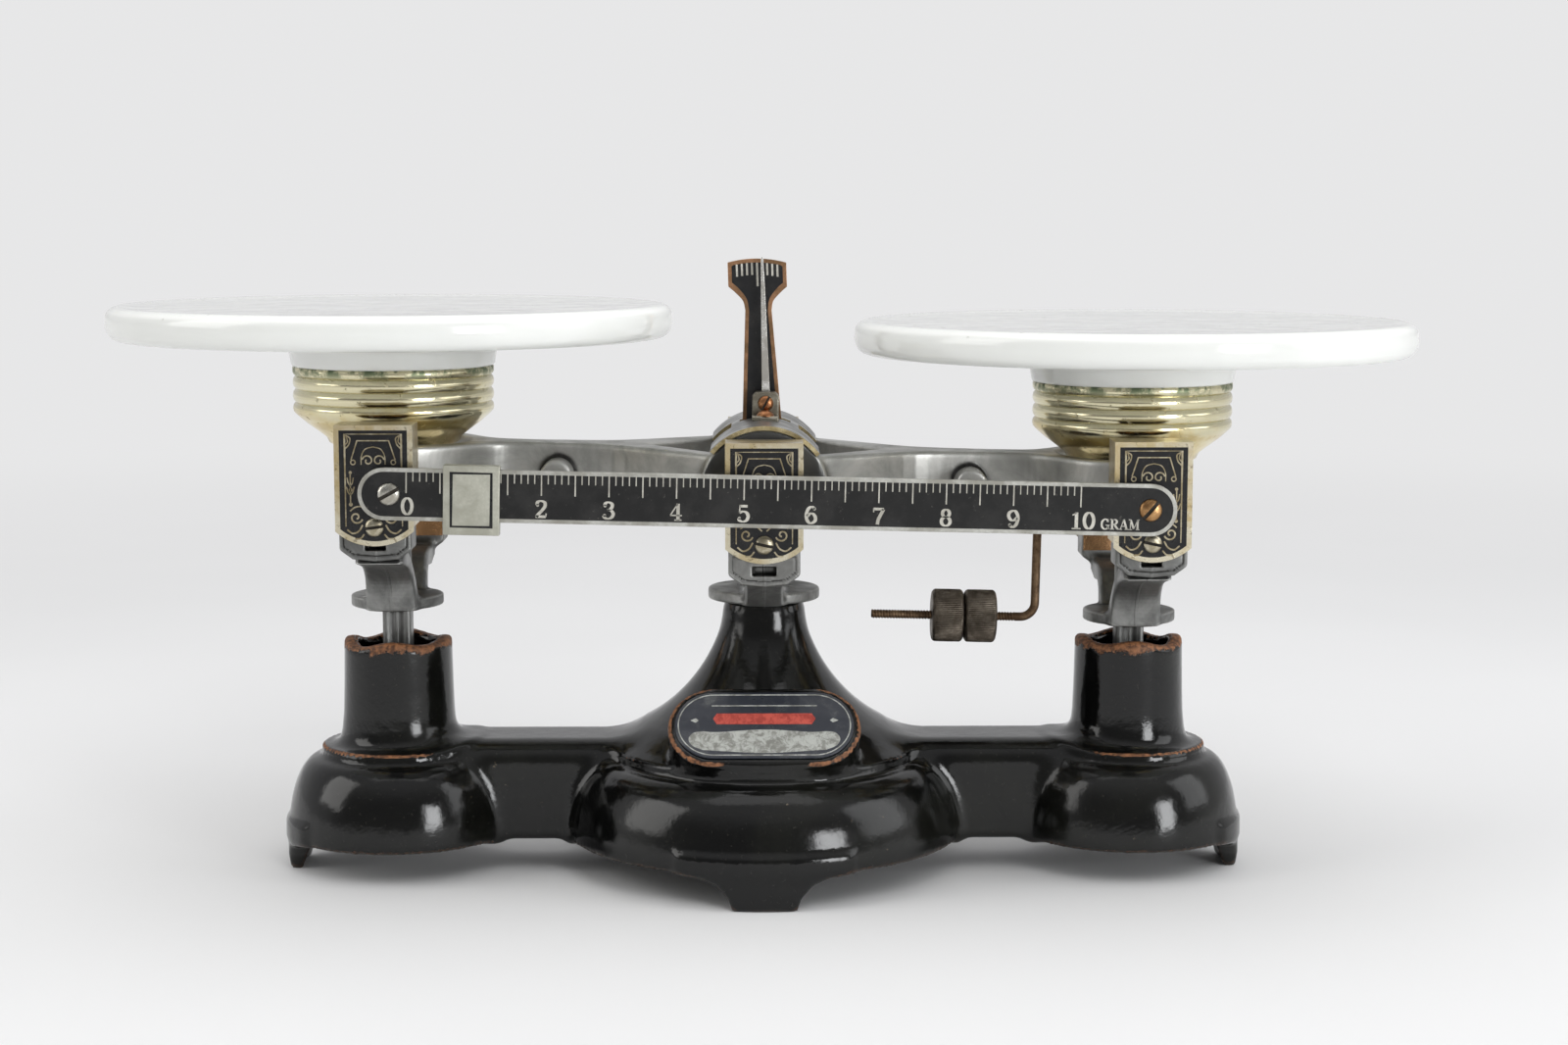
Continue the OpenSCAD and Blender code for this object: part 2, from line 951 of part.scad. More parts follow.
// Bearing block with a window, its vee resting on the knife edge from above
module carrier_bearing(drop) {
    base_z = pivot_z + cover_screw_z + 4.5 - drop;
    upright(-bearing_out, -bearing_in)
        difference() {
            translate([-5.5, base_z])
                square([11, pivot_z + 5 - base_z]);
            // Room for the knife, with the vee at the top
            polygon([
                [-4, base_z - 1], [4, base_z - 1], [4, pivot_z - 2.2],
                [0, pivot_z + run_gap], [-4, pivot_z - 2.2]
            ]);
        }
}

module carrier_bearings(side) {
    color("#55585c")
        on_carrier(side) {
            carrier_bearing(0);
            back_face()
                carrier_bearing(back_drop);
        }
}

module bearings_left() {
    carrier_bearings(-1);
}

module bearings_right() {
    carrier_bearings(1);
}

module carrier_covers(side) {
    color("#2a2926")
        on_carrier(side) {
            front_cover(0);
            back_face()
                front_cover(back_drop);
        }
}

module covers_left() {
    carrier_covers(-1);
}

module covers_right() {
    carrier_covers(1);
}

module carrier_cover_screws(side) {
    color("#b9ab80")
        on_carrier(side) {
            front_cover_screw(0);
            back_face()
                front_cover_screw(back_drop);
        }
}

module cover_screws_left() {
    carrier_cover_screws(-1);
}

module cover_screws_right() {
    carrier_cover_screws(1);
}

// Outline of the brass cup, from its floor up to its rim
module cup_outline(inset) {
    r = cup_r - inset;
    polygon([
        [0, post_top + inset], [17.6 - inset * 0.6, post_top + inset], [18.6 - inset, 117.5],
        [r - 1, 123.5], [r - 0.2, 124.2],
        [r - 0.2, 126.4], [r - 0.9, 127], [r, 127.6], [r, 130.1], [r - 0.9, 130.7], [r, 131.3],
        [r, 133.6], [r - 0.7, 134.2], [r, 134.8], [r, cup_top + (inset > 0 ? 1 : 0)],
        [0, cup_top + (inset > 0 ? 1 : 0)]
    ]);
}

module cup(side) {
    color("#b9a04a")
        on_carrier(side)
            rotate_extrude()
                difference() {
                    cup_outline(0);
                    cup_outline(cup_t);
                    translate([-1, post_top - 1])
                        square([2.5, 4]);
                }
}

module cup_left() {
    cup(-1);
}

module cup_right() {
    cup(1);
}

module cup_screw(side) {
    color("#b8b09a")
        on_carrier(side)
            difference() {
                union() {
                    translate([0, 0, post_top + cup_t])
                        cylinder(r = 4, h = 2.2);
                    translate([0, 0, post_top - 8])
                        cylinder(r = 1.5, h = 10);
                }
                translate([-5, -0.5, post_top + cup_t + 1.3])
                    cube([10, 1, 2]);
            }
}

module cup_screw_left() {
    cup_screw(-1);
}

module cup_screw_right() {
    cup_screw(1);
}

module pan(side) {
    low = pan_top - pan_t;
    color("#e6ebe8")
        on_carrier(side)
            rotate_extrude()
                polygon(concat(
                    [[0, cup_top - 4.5], [24.4, cup_top - 4.5], [24.6, cup_top], [27.6, cup_top],
                     [28.4, cup_top + 3.4], [29.8, low - 0.8], [33, low]],
                    arc(pan_r - 3.2, low + 3.2, 3.2, -90, 0, 4),
                    arc(pan_r - 3.2, pan_top - 3.2, 3.2, 0, 90, 4),
                    [[pan_r - 7, pan_top - 0.5], [0, pan_top - 0.5]]
                ));
}

module pan_left() {
    pan(-1);
}

module pan_right() {
    pan(1);
}

// ---- Check link ----

module check_link() {
    color("#6a6c6e")
        on_link()
            upright(-link_t / 2, link_t / 2)
                difference() {
                    union() {
                        translate([-arm, link_z - link_h / 2 + 1])
                            square([2 * arm, link_h - 2]);
                        for (x = [-arm, 0, arm])
                            translate([x, link_z])
                                circle(link_h / 2);
                    }
                    translate([0, link_z])
                        circle(pin_r + run_gap);
                    for (x = [-arm, arm])
                        translate([x, link_z])
                            circle(pin_r);
                }
}

module link_end_pins() {
    color("#8d8f91")
        on_link()
            for (s = sides)
                translate([s * arm, stem_d / 2 - 0.2, link_z])
                    rotate([90, 0, 0])
                        cylinder(r = pin_r, h = stem_d - 0.4);
}

base_casting();
name_plate();
fulcrum_bracket();
fulcrum_bolt();
fulcrum_bearings();
fulcrum_covers();
fulcrum_cover_screws();
index_plate();
index_screws();
link_pin();
beam_casting();
centre_knives();
end_knives();
saddle();
pointer_block();
pointer_block_screw();
pointer();
pointer_screw();
scale_bar();
scale_posts();
scale_screw_left();
scale_screw_right();
counterweight_rod();
rider();
zero_nut();
lock_nut();
carrier_left();
carrier_right();
bearings_left();
bearings_right();
covers_left();
covers_right();
cover_screws_left();
cover_screws_right();
cup_left();
cup_right();
cup_screw_left();
cup_screw_right();
pan_left();
pan_right();
check_link();
link_end_pins();
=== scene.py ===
import json
import math

import bmesh
import bpy
import numpy as np
from mathutils import Matrix, Vector


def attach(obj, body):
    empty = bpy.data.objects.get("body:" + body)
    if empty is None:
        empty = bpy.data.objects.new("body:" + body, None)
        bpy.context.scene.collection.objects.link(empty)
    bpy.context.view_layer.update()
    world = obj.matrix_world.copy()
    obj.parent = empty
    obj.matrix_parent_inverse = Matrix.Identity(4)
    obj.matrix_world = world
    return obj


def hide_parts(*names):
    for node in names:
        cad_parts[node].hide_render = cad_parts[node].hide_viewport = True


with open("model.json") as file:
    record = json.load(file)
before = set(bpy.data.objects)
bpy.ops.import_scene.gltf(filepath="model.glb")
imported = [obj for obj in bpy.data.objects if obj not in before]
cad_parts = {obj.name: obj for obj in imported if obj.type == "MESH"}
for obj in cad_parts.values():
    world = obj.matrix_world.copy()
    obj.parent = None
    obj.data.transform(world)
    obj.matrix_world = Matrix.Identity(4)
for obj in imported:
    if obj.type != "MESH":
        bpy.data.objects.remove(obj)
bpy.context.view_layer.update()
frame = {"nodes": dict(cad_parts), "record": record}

# Lengths below are in millimetres, in the frame of each assembly with the beam level.
MM = 0.001
scene = bpy.context.scene


# ---------------------------------------------------------------- places

def joint_point(name):
    joint = next(j for j in frame["record"]["behaviour"]["joints"] if j["name"] == name)
    return [v / MM for v in joint["pos_m"]]


def slide_tilt():
    joint = next(j for j in frame["record"]["behaviour"]["joints"] if j["name"] == "rider_slide")
    return math.atan2(-joint["axis"][2], joint["axis"][0])


TILT = slide_tilt()
PIVOT_Z = joint_point("beam_swing")[2]
LINK_Z = joint_point("check_link_swing")[2]
LEFT = joint_point("left_carrier_hang")
RIGHT = joint_point("right_carrier_hang")
ARM = RIGHT[0] / math.cos(TILT)


def turned_about(z):
    up = Matrix.Translation((0, 0, z * MM))
    return up @ Matrix.Rotation(TILT, 4, "Y") @ up.inverted()


def hung_from(point):
    return Matrix.Translation((point[0] * MM, 0, (point[2] - PIVOT_Z) * MM))


PLACES = {
    "base": (Matrix.Identity(4), "base"),
    "beam": (turned_about(PIVOT_Z), "beam"),
    "rider": (turned_about(PIVOT_Z), "rider"),
    "zero_nut": (turned_about(PIVOT_Z), "zero_nut"),
    "lock_nut": (turned_about(PIVOT_Z), "lock_nut"),
    "left": (hung_from(LEFT), "left_carrier"),
    "right": (hung_from(RIGHT), "right_carrier"),
    "link": (turned_about(LINK_Z), "check_link"),
}


def put(obj, place, nodes=()):
    """Links a finished piece, places it and ties it to its body."""
    matrix, body = PLACES[place]
    if obj.name not in scene.collection.objects:
        scene.collection.objects.link(obj)
    obj.matrix_world = matrix
    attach(obj, body)
    if nodes:
        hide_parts(*nodes)
    return obj


def soften(obj, width, segments=2, angle=35):
    """Rounds the edges of a piece."""
    mod = obj.modifiers.new("edges", "BEVEL")
    mod.width = width * MM
    mod.segments = segments
    mod.limit_method = "ANGLE"
    mod.angle_limit = math.radians(angle)
    mod.harden_normals = False
    return obj


# ---------------------------------------------------------------- mesh building

class Build:
    """Collects closed shapes, in millimetres, into one mesh."""

    def __init__(self):
        self.verts = []
        self.faces = []

    def solid(self, verts, faces):
        start = len(self.verts)
        self.verts.extend(tuple(v) for v in verts)
        self.faces.extend(tuple(start + i for i in f) for f in faces)

    def box(self, lo, hi):
        x0, y0, z0 = lo
        x1, y1, z1 = hi
        verts = [(x0, y0, z0), (x1, y0, z0), (x1, y1, z0), (x0, y1, z0),
                 (x0, y0, z1), (x1, y0, z1), (x1, y1, z1), (x0, y1, z1)]
        faces = [(0, 3, 2, 1), (4, 5, 6, 7), (0, 1, 5, 4), (1, 2, 6, 5), (2, 3, 7, 6), (3, 0, 4, 7)]
        self.solid(verts, faces)

    def prism(self, outline, low, high, axis="y"):
        """Outline drawn in the two other axes, from low to high along axis."""
        area = sum(a[0] * b[1] - b[0] * a[1] for a, b in zip(outline, outline[1:] + outline[:1]))
        pts = list(outline) if area > 0 else list(reversed(outline))
        n = len(pts)
        if axis == "y":
            verts = [(u, high, w) for u, w in pts] + [(u, low, w) for u, w in pts]
        elif axis == "x":
            verts = [(low, u, w) for u, w in pts] + [(high, u, w) for u, w in pts]
        else:
            verts = [(u, w, low) for u, w in pts] + [(u, w, high) for u, w in pts]
        faces = [tuple(reversed(range(n))), tuple(range(n, 2 * n))]
        faces += [(i, (i + 1) % n, n + (i + 1) % n, n + i) for i in range(n)]
        self.solid(verts, faces)

    def turned(self, profile, count=64, at=(0, 0, 0), axis="z"):
        """Profile of (radius, height) points turned about Z or Y; it meets the axis or closes on itself."""
        closed = profile[0][0] > 1e-6 or profile[-1][0] > 1e-6
        rows, verts, faces = [], [], []
        for r, h in profile:
            if r < 1e-6:
                rows.append([len(verts)])
                verts.append((0, 0, h))
            else:
                rows.append([len(verts) + i for i in range(count)])
                verts.extend((r * math.cos(math.tau * i / count), r * math.sin(math.tau * i / count), h)
                             for i in range(count))
        pairs = list(zip(rows, rows[1:])) + ([(rows[-1], rows[0])] if closed else [])
        for a, b in pairs:
            for i in range(count):
                j = (i + 1) % count
                if len(a) == 1 and len(b) > 1:
                    faces.append((a[0], b[j], b[i]))
                elif len(b) == 1 and len(a) > 1:
                    faces.append((a[i], a[j], b[0]))
                elif len(a) > 1:
                    faces.append((a[i], a[j], b[j], b[i]))
        if axis == "y":
            verts = [(x, -z, y) for x, y, z in verts]
        self.solid([(x + at[0], y + at[1], z + at[2]) for x, y, z in verts], faces)

    def strip(self, points, width, front, back, closed=False):
        """Ribbon along points drawn in X and Z; width is a number or a function of the direction."""
        pts = [Vector(p) for p in points]
        n = len(pts)
        verts = []
        for i, p in enumerate(pts):
            a = pts[i - 1] if i or closed else p
            b = pts[(i + 1) % n] if i < n - 1 or closed else p
            d = (b - a).normalized()
            w = width(d) if callable(width) else width
            side = Vector((-d[1], d[0])) * w / 2
            if i and i < n - 1 or closed:
                s = (p - a).normalized()
                side /= max(0.5, abs(s.dot(d)))
            for q, y in ((p + side, front), (p - side, front), (p - side, back), (p + side, back)):
                verts.append((q[0], y, q[1]))
        faces = []
        for i in range(n if closed else n - 1):
            a, b = 4 * i, 4 * ((i + 1) % n)
            faces += [(a + k, a + (k + 1) % 4, b + (k + 1) % 4, b + k) for k in range(4)]
        if not closed:
            faces += [(3, 2, 1, 0), tuple(4 * (n - 1) + k for k in range(4))]
        self.solid(verts, faces)

    def dot(self, centre, r, front, back, count=20):
        turns = [math.tau * i / count for i in range(count)]
        ring = [(centre[0] + r * math.cos(a), centre[1] + r * math.sin(a)) for a in turns]
        self.prism(ring, min(front, back), max(front, back), "y")

    def mesh(self, name):
        me = bpy.data.meshes.new(name)
        me.from_pydata([(x * MM, y * MM, z * MM) for x, y, z in self.verts], [], self.faces)
        bm = bmesh.new()
        bm.from_mesh(me)
        bmesh.ops.recalc_face_normals(bm, faces=bm.faces)
        bm.to_mesh(me)
        bm.free()
        return me

    def done(self, name, place, slot, mat, nodes=(), sharp=32):
        """Makes the piece, puts it in its place and returns it."""
        me = self.mesh(name)
        me.materials.append(mat)
        me.shade_smooth()
        me.set_sharp_from_angle(angle=math.radians(sharp))
        return put(bpy.data.objects.new(name, me), place, nodes)


def carved(obj, cutters):
    """Takes the cutters, which are Build objects, out of a piece that isn't placed yet."""
    scene.collection.objects.link(obj)
    made = []
    for i, cutter in enumerate(cutters):
        tool = bpy.data.objects.new(f"cutter_{i}", cutter.mesh("cutter"))
        scene.collection.objects.link(tool)
        made.append(tool)
        mod = obj.modifiers.new("cut", "BOOLEAN")
        mod.object = tool
        mod.operation = "DIFFERENCE"
        mod.solver = "EXACT"
    graph = bpy.context.evaluated_depsgraph_get()
    me = bpy.data.meshes.new_from_object(obj.evaluated_get(graph))
    obj.modifiers.clear()
    obj.data = me
    for tool in made:
        bpy.data.objects.remove(tool)
    scene.collection.objects.unlink(obj)
    return obj


def arc(cx, cz, r, a0, a1, n):
    steps = [math.radians(a0 + (a1 - a0) * i / n) for i in range(n + 1)]
    return [(cx + r * math.cos(a), cz + r * math.sin(a)) for a in steps]


def curve(points, steps=6):
    """Smooth line through the points."""
    p = [Vector(q) for q in points]
    p = [p[0] * 2 - p[1]] + p + [p[-1] * 2 - p[-2]]
    out = []
    for a, b, c, d in zip(p, p[1:], p[2:], p[3:]):
        for i in range(steps):
            t = i / steps
            out.append(0.5 * (2 * b + (c - a) * t + (2 * a - 5 * b + 4 * c - d) * t ** 2
                              + (3 * b - a - 3 * c + d) * t ** 3))
    return [tuple(q) for q in out] + [tuple(p[-2])]


def spiral(cx, cz, r0, r1, a0, a1, n=18):
    out = []
    for i in range(n + 1):
        a, r = math.radians(a0 + (a1 - a0) * i / n), r0 + (r1 - r0) * i / n
        out.append((cx + r * math.cos(a), cz + r * math.sin(a)))
    return out


def mirrored(points):
    return [(-u, w) for u, w in points]


# ---------------------------------------------------------------- cast shapes

def outline_distance(u, w, points):
    """Signed distance to a closed outline, negative inside it."""
    best, inside = None, False
    for (x0, y0), (x1, y1) in zip(points[-1:] + points[:-1], points):
        ex, ey = x1 - x0, y1 - y0
        du, dw = u - x0, w - y0
        t = np.clip((du * ex + dw * ey) / (ex * ex + ey * ey), 0, 1)
        gap = (du - ex * t) ** 2 + (dw - ey * t) ** 2
        best = gap if best is None else np.minimum(best, gap)
        if abs(ey) > 1e-9:
            inside = inside ^ (((y0 > w) != (y1 > w)) & (u < x0 + dw * (ex / ey)))
    return np.where(inside, -1, 1) * np.sqrt(best)


def join(k, *shapes):
    """Union with a fillet of about k."""
    out = shapes[0]
    for s in shapes[1:]:
        h = np.maximum(k - np.abs(out - s), 0) / k
        out = np.minimum(out, s) - h * h * k / 4
    return out


def meet(k, *shapes):
    """Intersection with edges rounded by about k."""
    return -join(k, *[-s for s in shapes])


def less(k, shape, *holes):
    """Shape without the holes."""
    for h in holes:
        shape = meet(k, shape, -h)
    return shape


def slab(v, low, high):
    return np.abs(v - (low + high) / 2) - (high - low) / 2


CORNERS = [(0, 0, 0), (1, 0, 0), (0, 1, 0), (1, 1, 0), (0, 0, 1), (1, 0, 1), (0, 1, 1), (1, 1, 1)]
EDGES = [(a, b) for a in range(8) for b in range(a + 1, 8)
         if sum(abs(p - q) for p, q in zip(CORNERS[a], CORNERS[b])) == 1]


def skin(shape, lo, hi, step):
    """Quads over the zero surface of shape(x, y, z)."""
    axes = [np.arange(a, b + step, step) for a, b in zip(lo, hi)]
    full = tuple(len(a) for a in axes)
    value = shape(axes[0][:, None, None], axes[1][None, :, None], axes[2][None, None, :])
    value = np.broadcast_to(value, full)
    inside = value < 0
    cells = tuple(n - 1 for n in full)
    count = np.zeros(cells, np.int8)
    for dx, dy, dz in CORNERS:
        count += inside[dx:cells[0] + dx, dy:cells[1] + dy, dz:cells[2] + dz]
    mixed = (count > 0) & (count < 8)
    number = np.full(cells, -1, np.int64)
    where = np.argwhere(mixed)
    number[mixed] = np.arange(len(where))
    corner = [value[tuple((where + c).T)] for c in CORNERS]
    total = np.zeros((len(where), 3))
    hits = np.zeros(len(where))
    for a, b in EDGES:
        cross = (corner[a] < 0) != (corner[b] < 0)
        va, vb = corner[a][cross], corner[b][cross]
        t = (va / (va - vb))[:, None]
        total[cross] += np.array(CORNERS[a]) * (1 - t) + np.array(CORNERS[b]) * t
        hits[cross] += 1
    points = (where + total / hits[:, None]) * step + np.array(lo)
    probe = step * 0.1
    for _ in range(3):
        x, y, z = points.T
        here = shape(x, y, z)
        slope = np.stack([shape(x + probe, y, z) - shape(x - probe, y, z),
                          shape(x, y + probe, z) - shape(x, y - probe, z),
                          shape(x, y, z + probe) - shape(x, y, z - probe)], 1) / (2 * probe)
        move = slope * (here / np.maximum((slope ** 2).sum(1), 0.05))[:, None]
        points = points - np.clip(move, -step / 2, step / 2)
    quads = []
    for ax in range(3):
        u, w = (ax + 1) % 3, (ax + 2) % 3
        near = np.take(inside, range(full[ax] - 1), ax)
        far = np.take(inside, range(1, full[ax]), ax)
        edge = np.argwhere(near != far)
        beside = edge[:, [u, w]]
        edge = edge[((beside > 0) & (beside < (full[u] - 1, full[w] - 1))).all(1)]
        out = near[tuple(edge.T)]
        ring = []
        for du, dw in ((-1, -1), (0, -1), (0, 0), (-1, 0)):
            cell = edge.copy()
            cell[:, u] += du
            cell[:, w] += dw
            ring.append(number[tuple(cell.T)])
        quad = np.stack(ring, 1)
        quad[~out] = quad[~out][:, ::-1]
        quads.append(quad)
    return points, np.concatenate(quads)


def cast(name, shape, lo, hi, step, place, mat, nodes):
    """Piece whose surface is the zero level of shape."""
    points, quads = skin(shape, lo, hi, step)
    me = bpy.data.meshes.new(name)
    me.vertices.add(len(points))
    me.vertices.foreach_set("co", (points * MM).ravel())
    me.loops.add(quads.size)
    me.loops.foreach_set("vertex_index", quads.ravel().astype(np.int32))
    me.polygons.add(len(quads))
    me.polygons.foreach_set("loop_start", np.arange(0, quads.size, 4, dtype=np.int32))
    me.update(calc_edges=True)
    me.validate()
    me.materials.append(mat)
    me.shade_smooth()
    return put(bpy.data.objects.new(name, me), place, nodes)


# ---------------------------------------------------------------- materials

def link(tree, kind, inputs=None, **props):
    """Adds a node; inputs are values or the sockets that feed them."""
    n = tree.nodes.new(kind)
    for key, value in props.items():
        setattr(n, key, value)
    for key, value in (inputs or {}).items():
        if isinstance(value, bpy.types.NodeSocket):
            tree.links.new(value, n.inputs[key])
        else:
            n.inputs[key].default_value = value
    return n


class Finish:
    """A material under construction, with Object coordinates."""

    def __init__(self, name):
        self.mat = bpy.data.materials.new(name)
        self.mat.use_nodes = True
        self.tree = self.mat.node_tree
        self.tree.nodes.clear()
        out = self.tree.nodes.new("ShaderNodeOutputMaterial")
        self.bsdf = self.tree.nodes.new("ShaderNodeBsdfPrincipled")
        self.tree.links.new(self.bsdf.outputs[0], out.inputs[0])
        self.place = link(self.tree, "ShaderNodeTexCoord").outputs["Object"]
        self.normal = None

    def add(self, kind, inputs=None, **props):
        return link(self.tree, kind, inputs, **props)

    def stretched(self, scale):
        return self.add("ShaderNodeMapping", {"Vector": self.place, "Scale": scale}).outputs[0]

    def noise(self, scale, detail=4, rough=0.55, vector=None, warp=0.0):
        """Noise of features 1000 / scale millimetres wide."""
        inputs = {"Vector": vector or self.place, "Scale": scale, "Detail": detail, "Roughness": rough,
                  "Distortion": warp}
        return self.add("ShaderNodeTexNoise", inputs).outputs["Fac"]

    def specks(self, scale):
        return self.add("ShaderNodeTexVoronoi", {"Vector": self.place, "Scale": scale}).outputs["Distance"]

    def step(self, value, low, high, to_low=0.0, to_high=1.0):
        """Smooth change from to_low to to_high while value goes from low to high."""
        inputs = {"Value": value, "From Min": low, "From Max": high, "To Min": to_low, "To Max": to_high}
        return self.add("ShaderNodeMapRange", inputs, interpolation_type="SMOOTHSTEP").outputs[0]

    def math(self, operation, a, b=0.0):
        n = self.add("ShaderNodeMath", operation=operation)
        for i, v in enumerate((a, b)):
            if isinstance(v, bpy.types.NodeSocket):
                self.tree.links.new(v, n.inputs[i])
            else:
                n.inputs[i].default_value = v
        return n.outputs[0]

    def axis(self, name):
        return self.add("ShaderNodeSeparateXYZ", {"Vector": self.place}).outputs[name]

    def edge(self, low, high):
        """1 on outer edges of a dense mesh, from pointiness."""
        return self.step(self.add("ShaderNodeNewGeometry").outputs["Pointiness"], low, high)

    def mix(self, amount, a, b):
        n = self.add("ShaderNodeMix", data_type="RGBA")
        for key, v in ((0, amount), (6, a), (7, b)):
            if isinstance(v, bpy.types.NodeSocket):
                self.tree.links.new(v, n.inputs[key])
            else:
                n.inputs[key].default_value = v
        return n.outputs[2]

    def bump(self, height, distance, strength=1.0):
        inputs = {"Height": height, "Distance": distance * MM, "Strength": strength}
        if self.normal is not None:
            inputs["Normal"] = self.normal
        self.normal = self.add("ShaderNodeBump", inputs).outputs[0]

    def finish(self, **values):
        if self.normal is not None:
            values.setdefault("Normal", self.normal)
        for key, v in values.items():
            socket = self.bsdf.inputs[key.replace("_", " ")]
            if isinstance(v, bpy.types.NodeSocket):
                self.tree.links.new(v, socket)
            else:
                socket.default_value = v
        return self.mat


def rgb(r, g, b):
    return (r, g, b, 1.0)


def metal(name, light, dark, rough=(0.3, 0.5), scale=150, fine=1500, bump=0.03, metallic=1.0, brushed=None):
    """Worn metal: two tones in patches, uneven roughness, fine grain; brushed is a stretch of the grain."""
    f = Finish(name)
    patches = f.noise(scale, 6, 0.6, warp=0.4)
    grain = f.noise(fine, 3, 0.6, f.stretched(brushed) if brushed else None)
    tone = f.mix(f.step(patches, 0.38, 0.66), dark, light)
    tone = f.mix(f.step(grain, 0.3, 0.62, 0.0, 0.35), tone, dark)
    f.bump(grain, bump)
    f.bump(patches, bump * 2)
    roughness = f.step(patches, 0.3, 0.7, rough[1], rough[0])
    return f.finish(Base_Color=tone, Metallic=metallic, Roughness=roughness)


def enamel():
    """Aged glossy black enamel on cast iron, chipped to rust on edges and rims."""
    f = Finish("black_enamel")
    broad = f.noise(28, 5, 0.6, warp=0.6)
    chips = f.noise(210, 6, 0.7)
    fine = f.noise(900, 3, 0.6)
    edges = f.edge(0.512, 0.56)
    worn = f.step(f.math("ADD", edges, f.math("MULTIPLY", chips, 0.9)), 1.05, 1.18)
    height = f.math("ADD", f.axis("Z"), f.step(chips, 0.3, 0.7, -0.0013, 0.0013))
    rim = f.math("MULTIPLY", f.step(height, 0.0611, 0.0617),
                 f.step(f.math("ABSOLUTE", f.axis("X")), 0.06, 0.061))
    off = f.math("SUBTRACT", f.math("ABSOLUTE", f.axis("X")), ARM * MM)
    away = f.math("SQRT", f.math("ADD", f.math("POWER", off, 2.0), f.math("POWER", f.axis("Y"), 2.0)))
    rim = f.math("MULTIPLY", rim, f.step(away, 0.0116, 0.0122))
    spots = f.step(f.noise(75, 8, 0.75), 0.69, 0.72)
    worn = f.math("MULTIPLY", worn, f.step(f.axis("Z"), 0.012, 0.026, 0.12, 1.0))
    rust = f.math("MAXIMUM", f.math("MAXIMUM", worn, rim), spots)
    black = f.mix(f.step(broad, 0.4, 0.7), rgb(0.0022, 0.0023, 0.0023), rgb(0.006, 0.0062, 0.0048))
    brown = f.mix(f.step(fine, 0.35, 0.65), rgb(0.07, 0.028, 0.012), rgb(0.27, 0.115, 0.048))
    tone = f.mix(rust, black, brown)
    dust = f.step(f.noise(1300, 2, 0.5), 0.66, 0.74, 0.0, 0.16)
    tone = f.mix(dust, tone, rgb(0.10, 0.095, 0.08))
    gloss = f.step(broad, 0.35, 0.7, 0.07, 0.17)
    rough = f.math("MAXIMUM", gloss, f.math("MULTIPLY", rust, 0.6))
    flecks = f.math("MULTIPLY", f.step(f.noise(380, 6, 0.75), 0.685, 0.715), f.step(broad, 0.42, 0.6))
    tone = f.mix(flecks, tone, rgb(0.24, 0.19, 0.13))
    f.bump(broad, 0.5, 0.5)
    f.bump(f.noise(85, 4, 0.55), 0.34, 0.5)
    f.bump(chips, 0.12, 0.5)
    f.bump(f.math("SUBTRACT", 1.0, rust), 0.12, 0.7)
    return f.finish(Base_Color=tone, Roughness=rough, Specular_IOR_Level=0.4)


def label_face():
    """Old blue-black label, rubbed and cracked, with no lettering."""
    f = Finish("label")
    rub = f.noise(140, 8, 0.7, warp=1.0)
    cracks = f.step(f.specks(260), 0.0, 0.06, 1.0, 0.0)
    tone = f.mix(f.step(rub, 0.5, 0.72), rgb(0.010, 0.013, 0.022), rgb(0.055, 0.060, 0.062))
    tone = f.mix(f.math("MULTIPLY", cracks, 0.4), tone, rgb(0.2, 0.18, 0.16))
    f.bump(rub, 0.06)
    return f.finish(Base_Color=tone, Roughness=f.step(rub, 0.3, 0.7, 0.42, 0.24), Coat_Weight=0.2)


def label_band(name, dark, light):
    """Rubbed printing on the label."""
    f = Finish(name)
    rub = f.noise(420, 8, 0.75, warp=0.5)
    tone = f.mix(f.step(rub, 0.40, 0.58), dark, light)
    f.bump(rub, 0.05)
    return f.finish(Base_Color=tone, Roughness=f.step(rub, 0.3, 0.7, 0.55, 0.4))


def die_cast(name, light, dark, line=True, boss=False):
    """Grey die-cast metal with a mould parting line down the middle, painted shade in the hollows and painted
    highlights on the outer edges.
    """
    f = Finish(name)
    cloud = f.noise(60, 6, 0.65, warp=0.8)
    grain = f.noise(1100, 4, 0.65)
    file_marks = f.noise(420, 3, 0.6, f.stretched((1.0, 1.0, 0.12)))
    tone = f.mix(f.step(cloud, 0.35, 0.68), dark, light)
    tone = f.mix(f.step(grain, 0.58, 0.74, 0.0, 0.45), tone, dark)
    # Painted shade: with boss, the outer end faces of the pivot bosses, behind the bearing covers, are
    # coloured dark grey.
    if boss:
        out = f.math("POWER", f.axis("X"), 2.0)
        up = f.math("POWER", f.math("SUBTRACT", f.axis("Z"), PIVOT_Z * MM), 2.0)
        reach = f.math("SQRT", f.math("ADD", out, up))
        deep = f.step(f.math("ABSOLUTE", f.axis("Y")), 0.0283, 0.0287)
        tone = f.mix(f.math("MULTIPLY", deep, f.step(reach, 0.0166, 0.0172, 1.0, 0.0)), tone,
                     rgb(0.085, 0.085, 0.082))
    # Painted shade: hollows and creases, found by pointiness, turn near black.
    crease_shade = f.edge(0.47, 0.505)
    tone = f.mix(crease_shade, rgb(0.035, 0.034, 0.032), tone)
    # Painted highlight: outer edges, found by pointiness, turn pale grey.
    bright = f.edge(0.525, 0.575)
    tone = f.mix(f.math("MULTIPLY", bright, 0.6), tone, rgb(0.55, 0.55, 0.53))
    f.bump(grain, 0.035)
    f.bump(file_marks, 0.05)
    if line:
        seam = f.step(f.math("ABSOLUTE", f.axis("X")), 0.00018, 0.00045, 1.0, 0.0)
        f.bump(seam, 0.16)
    rough = f.step(cloud, 0.3, 0.7, 0.52, 0.36)
    return f.finish(Base_Color=tone, Metallic=0.82, Roughness=rough)


